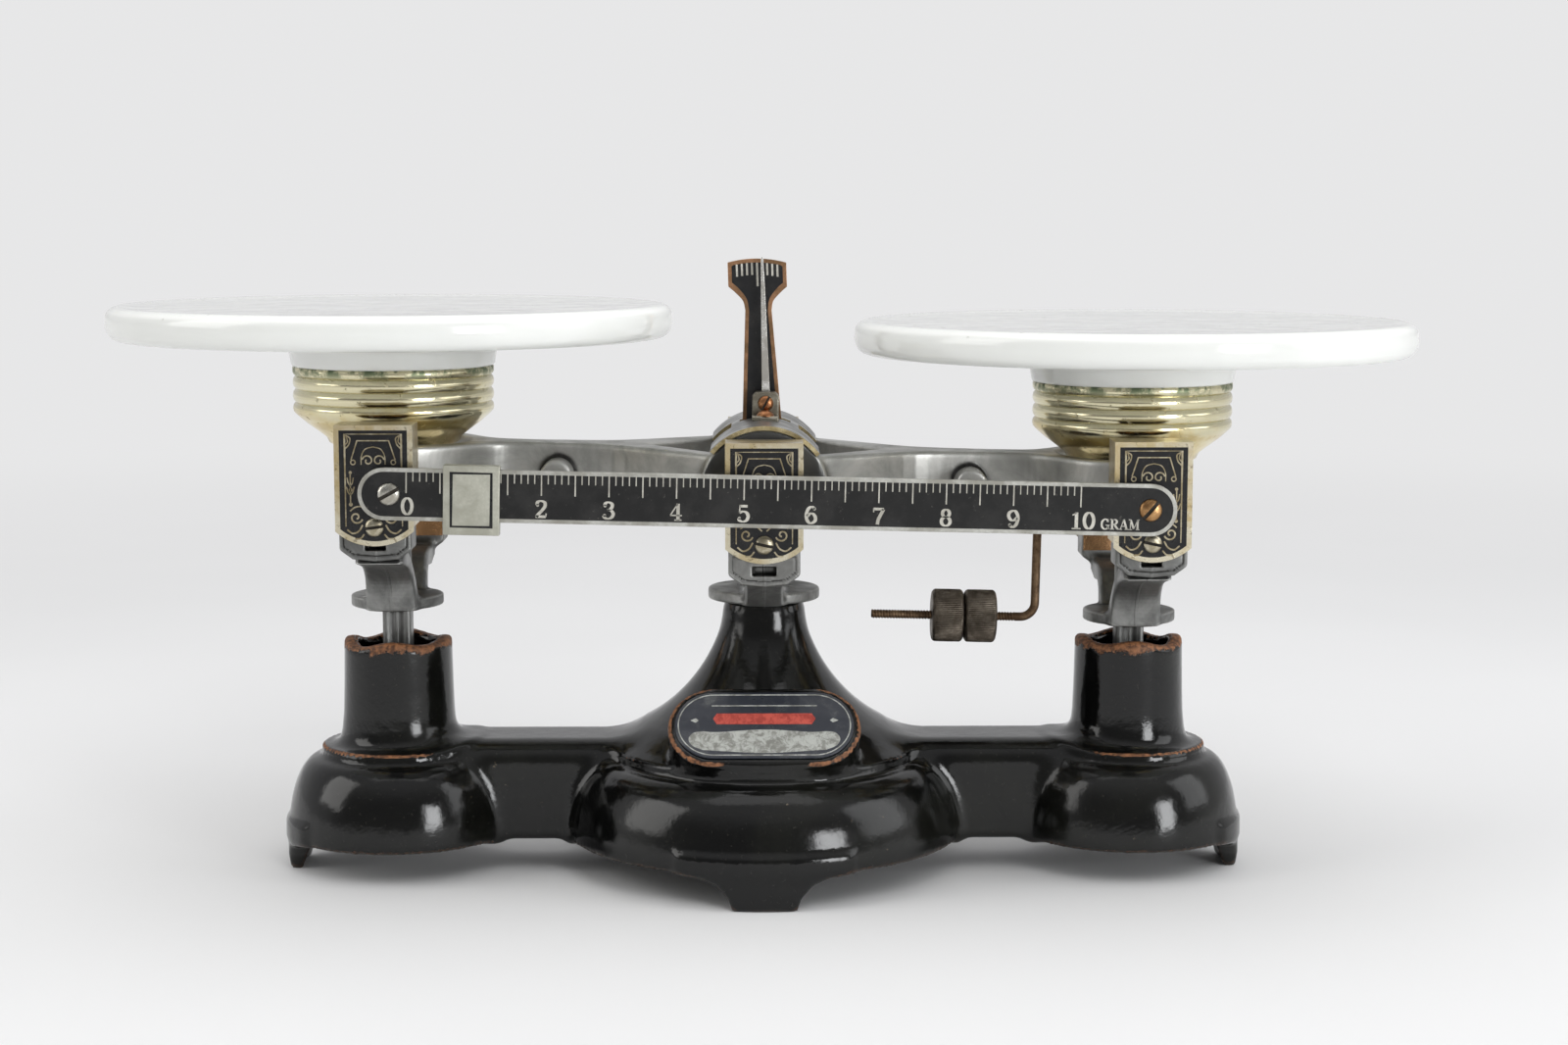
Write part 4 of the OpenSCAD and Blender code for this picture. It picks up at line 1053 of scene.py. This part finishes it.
RING_R, RING_HOLE, BOSS_R, BOSS_IN, BOSS_OUT = 25.5, 20.5, 17.2, 22.5, 29
BEAM_LOW, BEAM_HIGH = PIVOT_Z - 5, PIVOT_Z + 10.5
SCALE_Z, SCALE_Y, SCALE_T, SCALE_H = PIVOT_Z + 0.3, -47, 1.2, 13.6
FORK_OUT, BOSS_FLAT = 8.5, 6.5
POST_X, POST_R, SADDLE_T = 56, 4.4, 1.2
ROD_X, ROD_Z, ROD_TIP, ROD_R, ROD_BEND = 75.7, 70.5, 30.5, 1.2, 4
BEAM_PLAN = [(0, 28.5), (14, 28.5)] + curve([(14, 28.5), (27, 18.5), (41, 8.2), (56, 5.7), (66, 5.5),
                                             (72, 6.4), (79, 10)], 4)[1:]
BEAM_PLAN = BEAM_PLAN + [(u, -w) for u, w in reversed(BEAM_PLAN)]
BEAM_PLAN = [p for i, p in enumerate(BEAM_PLAN) if i == 0 or p != BEAM_PLAN[i - 1]]
WINDOW = [(33, 0), (31.5, 2.2), (13.5, 21.8), (11.5, 23), (0, 23), (0, -23), (11.5, -23), (13.5, -21.8),
          (31.5, -2.2)]


def beam_shape(x, y, z):
    ax, ay = np.abs(x), np.abs(y)
    plan = outline_distance(ax, y, BEAM_PLAN)
    window = outline_distance(ax, y, WINDOW)
    ring = np.hypot(ax - ARM, y)
    flat = join(4, plan, ring - RING_R)
    flat = meet(0.8, less(0.8, flat, window, ring - RING_HOLE), ax - ARM - FORK_OUT)
    body = meet(1.3, flat, slab(z, BEAM_LOW, BEAM_HIGH))
    boss = meet(0.9, np.hypot(x, z - PIVOT_Z) - BOSS_R, slab(ay, BOSS_IN, BOSS_OUT), PIVOT_Z - BOSS_FLAT - z)
    post = meet(0.9, np.hypot(ax - POST_X, z - SCALE_Z - 1.9) - POST_R, slab(y, -16, 0))
    body = join(1.6, body, boss)
    body = join(1.0, body, post)
    knife = meet(0.1, outline_distance(ax, z, [(0, PIVOT_Z), (2.9, PIVOT_Z + 5.8), (0, PIVOT_Z + 7.2)]),
                 BOSS_IN + 1 - ay)
    end_knife = meet(0.1, outline_distance(ax - ARM, z,
                                           [(0, PIVOT_Z), (2.6, PIVOT_Z - 4.6), (-2.6, PIVOT_Z - 4.6)]),
                     RING_HOLE + 2 - ay)
    rod = meet(0.1, np.hypot(x - ROD_X, y) - ROD_R, z - BEAM_LOW - 8)
    return less(0.2, body, knife, end_knife, rod)


cast("beam", beam_shape, (-128.5, -31, 86), (128.5, 31, 126), 0.62, "beam", M["zinc_beam"],
     ["beam_casting"])

# Saddle: arched sheet over the two bosses, its cut edges brassy
saddle = Build()
reach = 52
saddle.prism(arc(0, PIVOT_Z, BOSS_R + SADDLE_T, 90 - reach, 90 + reach, 28) +
             arc(0, PIVOT_Z, BOSS_R, 90 + reach, 90 - reach, 28), -BOSS_OUT - 0.5, BOSS_OUT + 0.5, "y")
obj = bpy.data.objects.new("saddle_sheet", saddle.mesh("saddle_sheet"))
tip = (BOSS_R + SADDLE_T) * math.sin(math.radians(reach))
cuts = []
window = Build()
window.box((-7, -0.5, PIVOT_Z), (7, 4.5, PIVOT_Z + 30))
cuts.append(window)
for s in (-1, 1):
    side_cut = Build()
    x0, x1 = sorted((s * (tip - 5.3), s * (tip + 4)))
    side_cut.box((x0, -8, PIVOT_Z), (x1, 6.5, PIVOT_Z + 30))
    cuts.append(side_cut)
carved(obj, cuts)
obj.data.materials.append(M["sheet"])
obj.data.materials.append(M["sheet_edge"])
for p in obj.data.polygons:
    radial = Vector((p.center.x, 0, p.center.z - PIVOT_Z * MM)).normalized()
    if abs(p.normal.dot(radial)) < 0.7:
        p.material_index = 1
obj.data.shade_smooth()
obj.data.set_sharp_from_angle(angle=math.radians(30))
soften(put(obj, "beam", ["saddle"]), 0.15, 2, 40)

# Block that holds the pointer, with its foot on the saddle
BLOCK_HALF, BLOCK_FRONT, BLOCK_BACK, BLOCK_TOP = 3.6, -6.8, -1.6, 131.6
NEEDLE_FRONT, NEEDLE_BACK, NEEDLE_LOW, NEEDLE_BEND, NEEDLE_TIP = -2.6, -1.8, 125.8, 131.8, 168
NEEDLE_SET = 1.8  # set over by this much at its tip, to meet the middle mark when the beam is level
POINTER_SCREW_Z, BLOCK_SCREW_Y = 128.6, -9.5
block_shape = Build()
over = PIVOT_Z + BOSS_R + SADDLE_T
half_block = [(BLOCK_HALF, over - 0.6), (BLOCK_HALF, BLOCK_TOP - 1), (BLOCK_HALF - 1, BLOCK_TOP)]
block_shape.prism(half_block + mirrored(list(reversed(half_block))), BLOCK_FRONT, BLOCK_BACK, "y")
block_shape.prism([(-12, over - 0.4), (-12, over + 0.7), (-11.4, over + 1.1), (-5.2, over + 1.1),
                   (-5.2, over - 0.4)], -BLOCK_HALF, BLOCK_HALF, "x")
soften(block_shape.done("pointer_holder", "beam", "saddle", M["block"], ["pointer_block"]), 0.25, 3)
screw("pointer_screw_visible", (0, BLOCK_FRONT, POINTER_SCREW_Z), 2.1, 1.0, 0.6, 62, "beam",
      M["copper"], ["pointer_screw"], shank=1.05, depth=4)
dome = Build()
foot = over + 1.1
dome.turned([(0, foot + 1.5), (0.7, foot + 1.45), (1.6, foot + 1.1), (2.2, foot + 0.5), (2.4, foot),
             (2.4, foot - 0.1), (1.1, foot - 0.1), (1.1, foot - 3.4), (0, foot - 3.4)], 36,
            (0, BLOCK_SCREW_Y, 0))
dome.done("block_screw_dome", "beam", "copper_screw", M["copper"], ["pointer_block_screw"])
needle = Build()
needle_edge = [(1.1, NEEDLE_LOW), (1.1, NEEDLE_BEND), (0.9, 142), (0.58, 158), (0.28, NEEDLE_TIP)]
needle_edge += mirrored(list(reversed(needle_edge)))
slant = NEEDLE_SET / (NEEDLE_TIP - NEEDLE_BEND)
needle.prism([(u - slant * max(0, w - NEEDLE_BEND), w) for u, w in needle_edge], NEEDLE_FRONT, NEEDLE_BACK,
             "y")
soften(needle.done("pointer_needle", "beam", "pointer", M["pointer"], ["pointer"]), 0.12, 2)


# ---------------------------------------------------------------- numerals

def nib(thick, thin, size):
    """Broad strokes where the line runs upright, thin ones where it runs flat."""
    return lambda d: (thin + (thick - thin) * min(1, abs(d[1]) * 1.15)) * size


OVAL = [(0.3 + 0.21 * math.cos(math.tau * i / 28), 0.5 + 0.455 * math.sin(math.tau * i / 28))
        for i in range(28)]
SIX = curve([(0.46, 0.84), (0.32, 0.96), (0.17, 0.83), (0.09, 0.55), (0.1, 0.28), (0.2, 0.06), (0.33, 0.03),
             (0.48, 0.16), (0.49, 0.38), (0.38, 0.56), (0.25, 0.56), (0.13, 0.42)], 5)
GLYPHS = {
    "0": [("loop", OVAL)],
    "1": [("line", [(0.3, 0.96), (0.3, 0.03)]), ("thin", [(0.12, 0.80), (0.22, 0.86), (0.3, 0.95)]),
          ("thin", [(0.1, 0.035), (0.5, 0.035)])],
    "2": [("line", curve([(0.11, 0.72), (0.14, 0.89), (0.28, 0.965), (0.45, 0.88), (0.47, 0.68), (0.36, 0.46),
                          (0.2, 0.24), (0.08, 0.06)], 5)), ("bold", [(0.05, 0.07), (0.5, 0.07)]),
          ("thin", [(0.5, 0.05), (0.52, 0.26)]), ("dot", [(0.14, 0.72)])],
    "3": [("line", curve([(0.11, 0.77), (0.17, 0.92), (0.3, 0.965), (0.44, 0.87), (0.44, 0.69), (0.34, 0.56),
                          (0.22, 0.53)], 5)),
          ("line", curve([(0.22, 0.53), (0.41, 0.49), (0.5, 0.3), (0.42, 0.1), (0.26, 0.03), (0.12, 0.09),
                          (0.08, 0.22)], 5)), ("dot", [(0.13, 0.76)]), ("dot", [(0.11, 0.22)])],
    "4": [("thin", [(0.36, 0.95), (0.04, 0.31)]), ("thin", [(0.03, 0.3), (0.55, 0.3)]),
          ("line", [(0.38, 0.97), (0.38, 0.03)]), ("thin", [(0.22, 0.035), (0.54, 0.035)])],
    "5": [("bold", [(0.12, 0.91), (0.47, 0.91)]), ("thin", [(0.13, 0.95), (0.11, 0.53)]),
          ("line", curve([(0.11, 0.53), (0.26, 0.61), (0.42, 0.55), (0.5, 0.34), (0.43, 0.11), (0.27, 0.03),
                          (0.12, 0.09), (0.08, 0.22)], 5)), ("dot", [(0.11, 0.22)])],
    "6": [("line", SIX), ("dot", [(0.44, 0.83)])],
    "7": [("bold", [(0.08, 0.91), (0.53, 0.91)]),
          ("line", curve([(0.52, 0.9), (0.4, 0.6), (0.29, 0.3), (0.26, 0.03)], 5)),
          ("thin", [(0.08, 0.95), (0.08, 0.72)])],
    "8": [("loop", [(0.3 + 0.155 * math.cos(math.tau * i / 24), 0.745 + 0.21 * math.sin(math.tau * i / 24))
                    for i in range(24)]),
          ("loop", [(0.3 + 0.195 * math.cos(math.tau * i / 24), 0.285 + 0.245 * math.sin(math.tau * i / 24))
                    for i in range(24)])],
    "9": [("line", [(0.6 - u, 1 - w) for u, w in SIX]), ("dot", [(0.16, 0.17)])],
    "G": [("line", curve([(0.5, 0.74), (0.42, 0.92), (0.28, 0.965), (0.12, 0.78), (0.07, 0.5), (0.12, 0.2),
                          (0.28, 0.03), (0.44, 0.1), (0.5, 0.3)], 5)), ("thin", [(0.34, 0.41), (0.62, 0.41)]),
          ("line", [(0.51, 0.42), (0.51, 0.06)]), ("thin", [(0.51, 0.96), (0.51, 0.7)])],
    "R": [("line", [(0.15, 0.97), (0.15, 0.03)]), ("thin", [(0.02, 0.035), (0.29, 0.035)]),
          ("thin", [(0.02, 0.965), (0.3, 0.965)]),
          ("line", curve([(0.15, 0.96), (0.38, 0.93), (0.47, 0.74), (0.37, 0.54), (0.15, 0.51)], 5)),
          ("line", [(0.3, 0.52), (0.44, 0.2), (0.56, 0.04)]), ("thin", [(0.48, 0.035), (0.66, 0.035)])],
    "A": [("thin", [(0.3, 0.97), (0.08, 0.03)]), ("line", [(0.3, 0.97), (0.52, 0.03)]),
          ("thin", [(0.14, 0.33), (0.46, 0.33)]), ("thin", [(-0.02, 0.035), (0.19, 0.035)]),
          ("thin", [(0.39, 0.035), (0.65, 0.035)])],
    "M": [("thin", [(0.13, 0.03), (0.13, 0.97)]), ("line", [(0.13, 0.97), (0.37, 0.1)]),
          ("thin", [(0.37, 0.1), (0.62, 0.97)]), ("line", [(0.62, 0.97), (0.62, 0.03)]),
          ("thin", [(0.01, 0.035), (0.25, 0.035)]), ("thin", [(0.5, 0.035), (0.75, 0.035)]),
          ("thin", [(0.01, 0.965), (0.14, 0.965)]), ("thin", [(0.61, 0.965), (0.75, 0.965)])],
}
WIDE = {"G": 0.72, "R": 0.72, "A": 0.72, "M": 0.84}


def write(build, text, x, z, size, front, back, stretch=1.14):
    """Draws generic numerals or letters from x to the right, standing on z."""
    for letter in text:
        for kind, points in GLYPHS[letter]:
            pts = [(x + (0.3 + (u - 0.3) * stretch) * size, z + w * size) for u, w in points]
            if kind == "dot":
                build.dot(pts[0], 0.085 * size, front, back)
            elif kind == "bold":
                build.strip(pts, 0.15 * size, front, back)
            elif kind == "thin":
                build.strip(pts, 0.07 * size, front, back)
            else:
                build.strip(pts, nib(0.19, 0.085, size), front, back, closed=kind == "loop")
        x += WIDE.get(letter, 0.64) * size * max(1, stretch / 1.14)


# ---------------------------------------------------------------- scale bar

LEFT_END, RIGHT_END, ZERO_X, PITCH = -104.5, 106.5, -92.0, 17.35
HOLES = (-96.5, 99.6)
TOP_EDGE = SCALE_Z + SCALE_H / 2


def bar_outline(inset):
    r = SCALE_H / 2 - inset
    right, left = RIGHT_END - SCALE_H / 2, LEFT_END + SCALE_H / 2
    return arc(right, SCALE_Z, r, -90, 90, 20) + arc(left, SCALE_Z, r, 90, 270, 20)


bar = Build()
bar.prism(bar_outline(0), SCALE_Y, SCALE_Y + SCALE_T, "y")
obj = bpy.data.objects.new("scale_plate", bar.mesh("scale_plate"))
holes = []
for hole_x in HOLES:
    drill = Build()
    drill.turned([(0, 3), (1.6, 3), (1.6, -3), (0, -3)], 32, (hole_x, SCALE_Y, SCALE_Z), "y")
    holes.append(drill)
carved(obj, holes)
obj.data.materials.append(M["silver"])
obj.data.shade_smooth()
obj.data.set_sharp_from_angle(angle=math.radians(30))
soften(put(obj, "beam", ["scale_bar"]), 0.12, 2, 40)
face = Build()
face.prism(bar_outline(1.05), SCALE_Y - 0.05, SCALE_Y + 0.3, "y")
face.done("scale_face", "beam", "scale", M["scale"])
marks = Build()
front, back = SCALE_Y - 0.09, SCALE_Y + 0.1
for tenth in range(0, 101):
    x = ZERO_X + tenth * PITCH / 10
    length = 6.4 if tenth % 5 == 0 else 3.4
    wide = 0.34 if tenth % 5 == 0 else 0.28
    marks.box((x - wide / 2, front, TOP_EDGE - length), (x + wide / 2, back, TOP_EDGE - 0.9))
digit, digit_stretch = 4.55, 1.27
for gram in range(0, 11):
    text = str(gram)
    x = ZERO_X + gram * PITCH - 0.3 * digit - (0.64 * digit if gram == 10 else 0)
    x += 0.3 if gram == 0 else (1.9 if gram == 10 else 0)
    write(marks, text, x, SCALE_Z - SCALE_H / 2 + 1.5, digit, front, back, digit_stretch)
write(marks, "GRAM", ZERO_X + 10 * PITCH + 5.6, SCALE_Z - SCALE_H / 2 + 1.6, 2.75, front, back, 1.38)
marks.done("scale_marks", "beam", "scale", M["marks"])
for word, x, angle, mat in (("left", HOLES[0], 30, M["silver_screw"]),
                            ("right", HOLES[1], 50, M["brass_screw"])):
    screw(f"scale_screw_{word}_head", (x, SCALE_Y, SCALE_Z), 2.95, 1.1, 0.95, angle, "beam", mat,
          [f"scale_screw_{word}"], shank=1.6, depth=2.2)

# Rider: folded strip open at the back, with a thin black rectangle on its face
rider_low = SCALE_Z - SCALE_H / 2 - 3.3
rider_turn = PLACES["rider"][0].inverted()
rider_x = min((rider_turn @ v.co).x for v in frame["nodes"]["rider"].data.vertices) / MM
rider_front, gap, sheet_t = SCALE_Y - 0.2 - 0.9, 0.2, 0.9
rider_back = rider_front + SCALE_T + 2 * (gap + sheet_t)
rider_high = SCALE_Z + SCALE_H / 2 + gap + sheet_t
inner_front, inner_back = rider_front + sheet_t, rider_back - sheet_t
inner_low, inner_high = rider_low + 3.3 - gap, rider_high - sheet_t
folded = Build()
folded.prism([(rider_front, rider_low), (rider_back, rider_low), (rider_back, rider_low + 6.3),
              (inner_back, rider_low + 6.3), (inner_back, inner_low), (inner_front, inner_low),
              (inner_front, inner_high), (inner_back, inner_high), (inner_back, rider_high - 3.9),
              (rider_back, rider_high - 3.9), (rider_back, rider_high), (rider_front, rider_high)], rider_x,
             rider_x + 14.5, "x")
soften(folded.done("rider_strip", "rider", "rider", M["rider"], ["rider"]), 0.22, 3, 40)
frame_line = Build()
x0, x1, z0, z1 = rider_x + 2.1, rider_x + 12.4, rider_low + 2.2, rider_high - 2.0
frame_line.strip([(x0, z0), (x1, z0), (x1, z1), (x0, z1)], 0.62, rider_front - 0.03, rider_front + 0.1,
                 closed=True)
frame_line.done("rider_line", "rider", "rider", M["panel"])


# ---------------------------------------------------------------- rod and nuts

def threaded_rod():
    """Bent rod whose horizontal part has a fine screw thread."""
    pitch, depth, around = 0.8, 0.14, 20
    path = []
    x = ROD_TIP
    while x < ROD_X - ROD_BEND:
        path.append((x, ROD_Z, 1, 0, x < ROD_X - ROD_BEND - 1.5))
        x += pitch / 6
    for i in range(13):
        a = math.radians(90 * i / 12)
        path.append((ROD_X - ROD_BEND + ROD_BEND * math.sin(a), ROD_Z + ROD_BEND - ROD_BEND * math.cos(a),
                     math.cos(a), math.sin(a), False))
    bend_top, top = ROD_Z + ROD_BEND, BEAM_LOW + 8
    path += [(ROD_X, bend_top + (top - bend_top) * i / 24, 0, 1, False) for i in range(1, 25)]
    b = Build()
    verts, faces = [], []
    for i, (px, pz, dx, dz, thread) in enumerate(path):
        for k in range(around):
            a = math.tau * k / around
            r = ROD_R
            if thread:
                phase = (px / pitch + k / around) % 1
                r = ROD_R + 0.08 - depth * abs(2 * phase - 1) * 2 * (1 if i else 0.6)
            if i == 0:
                r *= 0.8
            verts.append((px - dz * r * math.cos(a), r * math.sin(a), pz + dx * r * math.cos(a)))
    n = len(path)
    for i in range(n - 1):
        for k in range(around):
            j = (k + 1) % around
            faces.append((i * around + k, i * around + j, (i + 1) * around + j, (i + 1) * around + k))
    faces.append(tuple(reversed(range(around))))
    faces.append(tuple((n - 1) * around + k for k in range(around)))
    b.solid(verts, faces)
    return b.done("rod_threaded", "beam", "rod", M["rod"], ["counterweight_rod"], sharp=60)


threaded_rod()


NUT_X, NUT_W, NUT_R = 51.5, 8.8, 7.3


def knurled_nut(name, place, x0, nodes):
    """Round nut with a fine straight knurl and rolled ends."""
    r, w, ridges = NUT_R, NUT_W, 84
    around = ridges * 4
    rows = [(0.0, 1.27, 0), (0.0, 5.9, 0), (0.12, 6.5, 0), (0.5, 7.02, 0.3), (0.95, 7.26, 1),
            (w / 2, 7.28, 1), (w - 0.95, 7.26, 1), (w - 0.5, 7.02, 0.3), (w - 0.12, 6.5, 0), (w, 5.9, 0),
            (w, 1.27, 0)]
    verts, faces = [], []
    for along, rad, depth in rows:
        for k in range(around):
            a = math.tau * k / around
            ridge = 0.17 * depth * (0.5 - 0.5 * math.cos(a * ridges))
            rr = min(rad, r) - ridge
            verts.append((x0 + along, rr * math.cos(a), ROD_Z + rr * math.sin(a)))
    n = len(rows)
    for i in range(n):
        for k in range(around):
            j = (k + 1) % around
            i2 = (i + 1) % n
            faces.append((i * around + k, i * around + j, i2 * around + j, i2 * around + k))
    b = Build()
    b.solid(verts, faces)
    return b.done(name, place, "nut", M["nut"], nodes, sharp=40)


knurled_nut("nut_zero", "zero_nut", NUT_X - NUT_W / 2, ["zero_nut"])
knurled_nut("nut_lock", "lock_nut", NUT_X + NUT_W / 2 + 0.2, ["lock_nut"])


# ---------------------------------------------------------------- pans and cups

CUP_TOP, CUP_FLOOR, CUP_R, PAN_R, PAN_T, PAN_TOP = 136.4, 115.2, 27.2, 76.2, 9.0, 153.0


def bead(r, low, high, depth, n=5):
    """Rolled bead of a sheet: a bulge between two creases."""
    return [(r - depth * (1 - math.sin(math.pi * i / n) ** 0.6), low + (high - low) * i / n)
            for i in range(n + 1)]


outer = [(0, CUP_FLOOR), (16.8, CUP_FLOOR), (17.7, CUP_FLOOR + 0.5), (18.4, CUP_FLOOR + 2.0), (20.6, 118.9),
         (23.6, 121.1), (25.8, 123.0)]
for low, high, deep in ((123.6, 126.7, 0.75), (126.7, 130.4, 0.75), (130.4, 133.9, 0.75)):
    outer += bead(CUP_R, low, high, deep)[1 if low > 124 else 0:]
outer += [(CUP_R - 0.25, 134.3), (CUP_R, 134.9), (CUP_R, CUP_TOP - 0.3), (CUP_R - 0.3, CUP_TOP)]
inner = [(max(0, r - 0.8), h + (0.6 if h < 118 else 0.15)) for r, h in outer if h < CUP_TOP - 0.2]
inner = [(CUP_R - 0.75, CUP_TOP)] + list(reversed(inner))
inner[-1] = (1.6, inner[-1][1])
outer[0] = (1.6, CUP_FLOOR)
glass = [(0, CUP_TOP - 4.5), (23.6, CUP_TOP - 4.5), (24.3, CUP_TOP - 4.0), (24.6, CUP_TOP),
         (27.2, CUP_TOP + 0.05), (27.6, CUP_TOP + 0.6), (28.0, CUP_TOP + 3.4), (28.7, CUP_TOP + 5.6),
         (30.4, PAN_TOP - PAN_T - 0.6), (33.5, PAN_TOP - PAN_T - 0.1), (38, PAN_TOP - PAN_T),
         (PAN_R - 6, PAN_TOP - PAN_T)]
glass += arc(PAN_R - 3.6, PAN_TOP - PAN_T + 3.4, 3.4, -80, -8, 8) + [(PAN_R, PAN_TOP - PAN_T + 4.0)]
glass += arc(PAN_R - 3.3, PAN_TOP - 3.2, 3.2, 8, 96, 10)
glass += [(PAN_R - 5.5, PAN_TOP - 0.12), (PAN_R - 7.5, PAN_TOP - 0.4), (PAN_R - 10, PAN_TOP - 0.5),
          (0, PAN_TOP - 0.5)]
for word in ("left", "right"):
    cup = Build()
    cup.turned(outer + inner, 128)
    cup.done(f"cup_{word}_brass", word, "brass", M["brass"], [f"cup_{word}"], sharp=50)
    pan = Build()
    pan.turned(glass, 192)
    pan.done(f"pan_{word}_glass", word, "milk_glass", M["glass"], [f"pan_{word}"], sharp=60)


# ---------------------------------------------------------------- index plate

INDEX_Y, INDEX_T, INDEX_TOP, INDEX_CURVE = 1, 1.2, 167.5, 30
INDEX_LEAN, LEAN_FROM, INDEX_BORDER = 0.032, 110, 1.05
TICK_PITCH, TICK_W, TICK_LONG, TICK_SHORT = 1.38, 0.54, 6.4, 3.3


def leaned(points):
    """The plate leans a little to the left above the bracket."""
    return [(u - INDEX_LEAN * max(0, w - LEAN_FROM), w) for u, w in points]


def index_outline(inset):
    """Tapered shank and fan-shaped head."""
    low, neck, flare, head = 80.2 + inset, 5.3 - inset, 3.6 - inset, 8 - inset
    right = [(neck, low), (neck, LEAN_FROM), (neck, 124), (flare + 0.85, 139)]
    right += curve([(flare, 153.5), (flare + 0.55, 156 + inset / 2), (head - 1.9, 158.2 + inset),
                    (head, 159.9 + inset)], 5)
    right += [(head, 166.4 - inset)]
    top = arc(0, INDEX_TOP - INDEX_CURVE, INDEX_CURVE - inset, 90 - 15.2, 90 + 15.2, 12)
    top = [p for p in top if abs(p[0]) < head]
    return leaned(right + top + mirrored(list(reversed(right))))


rim = Build()
rim.prism(index_outline(0), INDEX_Y, INDEX_Y + INDEX_T, "y")
soften(rim.done("index_sheet", "base", "index", M["index_rim"], ["index_plate"]), 0.12, 2)
face = Build()
face.prism(index_outline(INDEX_BORDER), INDEX_Y - 0.05, INDEX_Y + 0.3, "y")
face.done("index_face", "base", "index", M["index"])
ticks = Build()
for i in range(-4, 5):
    x0, x1 = i * TICK_PITCH - TICK_W / 2, i * TICK_PITCH + TICK_W / 2
    top = INDEX_TOP - INDEX_CURVE + math.sqrt((INDEX_CURVE - 1.1) ** 2 - (i * TICK_PITCH) ** 2)
    foot = top - (TICK_SHORT if i else TICK_LONG)
    ticks.prism(leaned([(x0, foot), (x1, foot), (x1, top), (x0, top)]),
                INDEX_Y - 0.09, INDEX_Y + 0.1, "y")
ticks.done("index_ticks", "base", "index", M["marks"])
for height, n in ((82.4, 1), (88, 2)):
    screw(f"index_screw_{n}", (0, INDEX_Y, height), 2, 1, 0.6, 20 * n, "base", M["copper"],
          ["index_screws"], shank=1.05)

# ---------------------------------------------------------------- plain turned and filed parts from the frame

FROM_FRAME = {
    "fulcrum_bolt": ("steel", "steel", 0.3),
    "fulcrum_bearings": ("bearing", "bearing", 0.25),
    "link_pin": ("steel", "steel", 0.2),
    "centre_knives": ("steel", "steel", 0.05),
    "end_knives": ("steel", "steel", 0.05),
    "scale_posts": ("zinc_beam", "zinc", 0.1),
    "bearings_left": ("bearing", "bearing", 0.25),
    "bearings_right": ("bearing", "bearing", 0.25),
    "cup_screw_left": ("nickel", "steel", 0.2),
    "cup_screw_right": ("nickel", "steel", 0.2),
    "check_link": ("zinc_dark", "steel", 0.3),
    "link_end_pins": ("steel", "steel", 0.2),
}
for node, (mat, slot_name, width) in FROM_FRAME.items():
    obj = frame["nodes"][node]
    obj.data.materials.clear()
    obj.data.materials.append(M[mat])
    soften(obj, width)

# ---------------------------------------------------------------- table, light and camera

bpy.ops.mesh.primitive_plane_add(size=60, location=(0, 0, 0))
floor = bpy.context.object
floor.name = "table_top"
floor.data.materials.append(table_top())


def lamp(name, place, size, power, tone, aim=(0, 0, 0.09), size_y=None, shows=True):
    data = bpy.data.lights.new(name, "AREA")
    data.shape = "RECTANGLE"
    data.size, data.size_y = size, size_y or size
    data.energy = power
    data.color = tone
    obj = bpy.data.objects.new(name, data)
    scene.collection.objects.link(obj)
    obj.location = place
    obj.rotation_euler = (Vector(aim) - Vector(place)).to_track_quat("-Z", "Y").to_euler()
    obj.visible_glossy = shows
    return obj


lamp("left_window", (-1.5, -0.4, 0.8), 0.9, 7.5, (1.0, 0.99, 0.965), size_y=1.1)
lamp("right_window", (1.5, -0.4, 0.75), 0.9, 6, (0.97, 0.985, 1.0), size_y=1.1)
lamp("small_window", (1.05, -1.35, 0.28), 0.5, 11, (0.97, 0.985, 1.0), size_y=0.55)
lamp("top_sheet", (0.0, 0.0, 1.5), 1.4, 5.2, (1, 1, 1))
lamp("front_fill", (0.25, -1.15, 1.25), 0.7, 5, (1, 1, 1), shows=False)


def room():
    """Even backdrop for the eye; for the light, a room that is dimmer on the side of the camera."""
    world = bpy.data.worlds.new("room")
    world.use_nodes = True
    tree = world.node_tree
    tree.nodes.clear()
    out = tree.nodes.new("ShaderNodeOutputWorld")
    where = link(tree, "ShaderNodeSeparateXYZ", {0: link(tree, "ShaderNodeTexCoord").outputs["Generated"]})

    def fade(name, start, end):
        inputs = {"Value": where.outputs[name], "From Min": start, "From Max": end}
        return link(tree, "ShaderNodeMapRange", inputs, interpolation_type="SMOOTHSTEP").outputs[0]

    near, low = fade("Y", 0.0, -0.7), fade("Z", 0.8, 0.3)
    dim = link(tree, "ShaderNodeMath", {0: near, 1: low}, operation="MULTIPLY").outputs[0]
    light = link(tree, "ShaderNodeMix", {0: dim, 6: (0.62, 0.62, 0.63, 1), 7: (0.22, 0.22, 0.22, 1)},
                 data_type="RGBA")
    rays = link(tree, "ShaderNodeLightPath").outputs["Is Camera Ray"]
    tone = link(tree, "ShaderNodeMix", {0: rays, 6: light.outputs[2], 7: BACKDROP}, data_type="RGBA")
    sky = link(tree, "ShaderNodeBackground", {"Color": tone.outputs[2], "Strength": 1.0})
    tree.links.new(sky.outputs[0], out.inputs[0])
    return world


scene.world = room()

eye = bpy.data.cameras.new("eye")
eye.lens, eye.sensor_width = 60.75, 36
eye.clip_start, eye.clip_end = 0.05, 60
camera = bpy.data.objects.new("eye", eye)
scene.collection.objects.link(camera)
camera.location = (-0.00245, -0.723, 0.1845)
camera.rotation_euler = (math.radians(90 - 7.04), 0, -0.0111)
scene.camera = camera
scene.view_settings.view_transform = "Standard"
scene.view_settings.exposure = 0.0
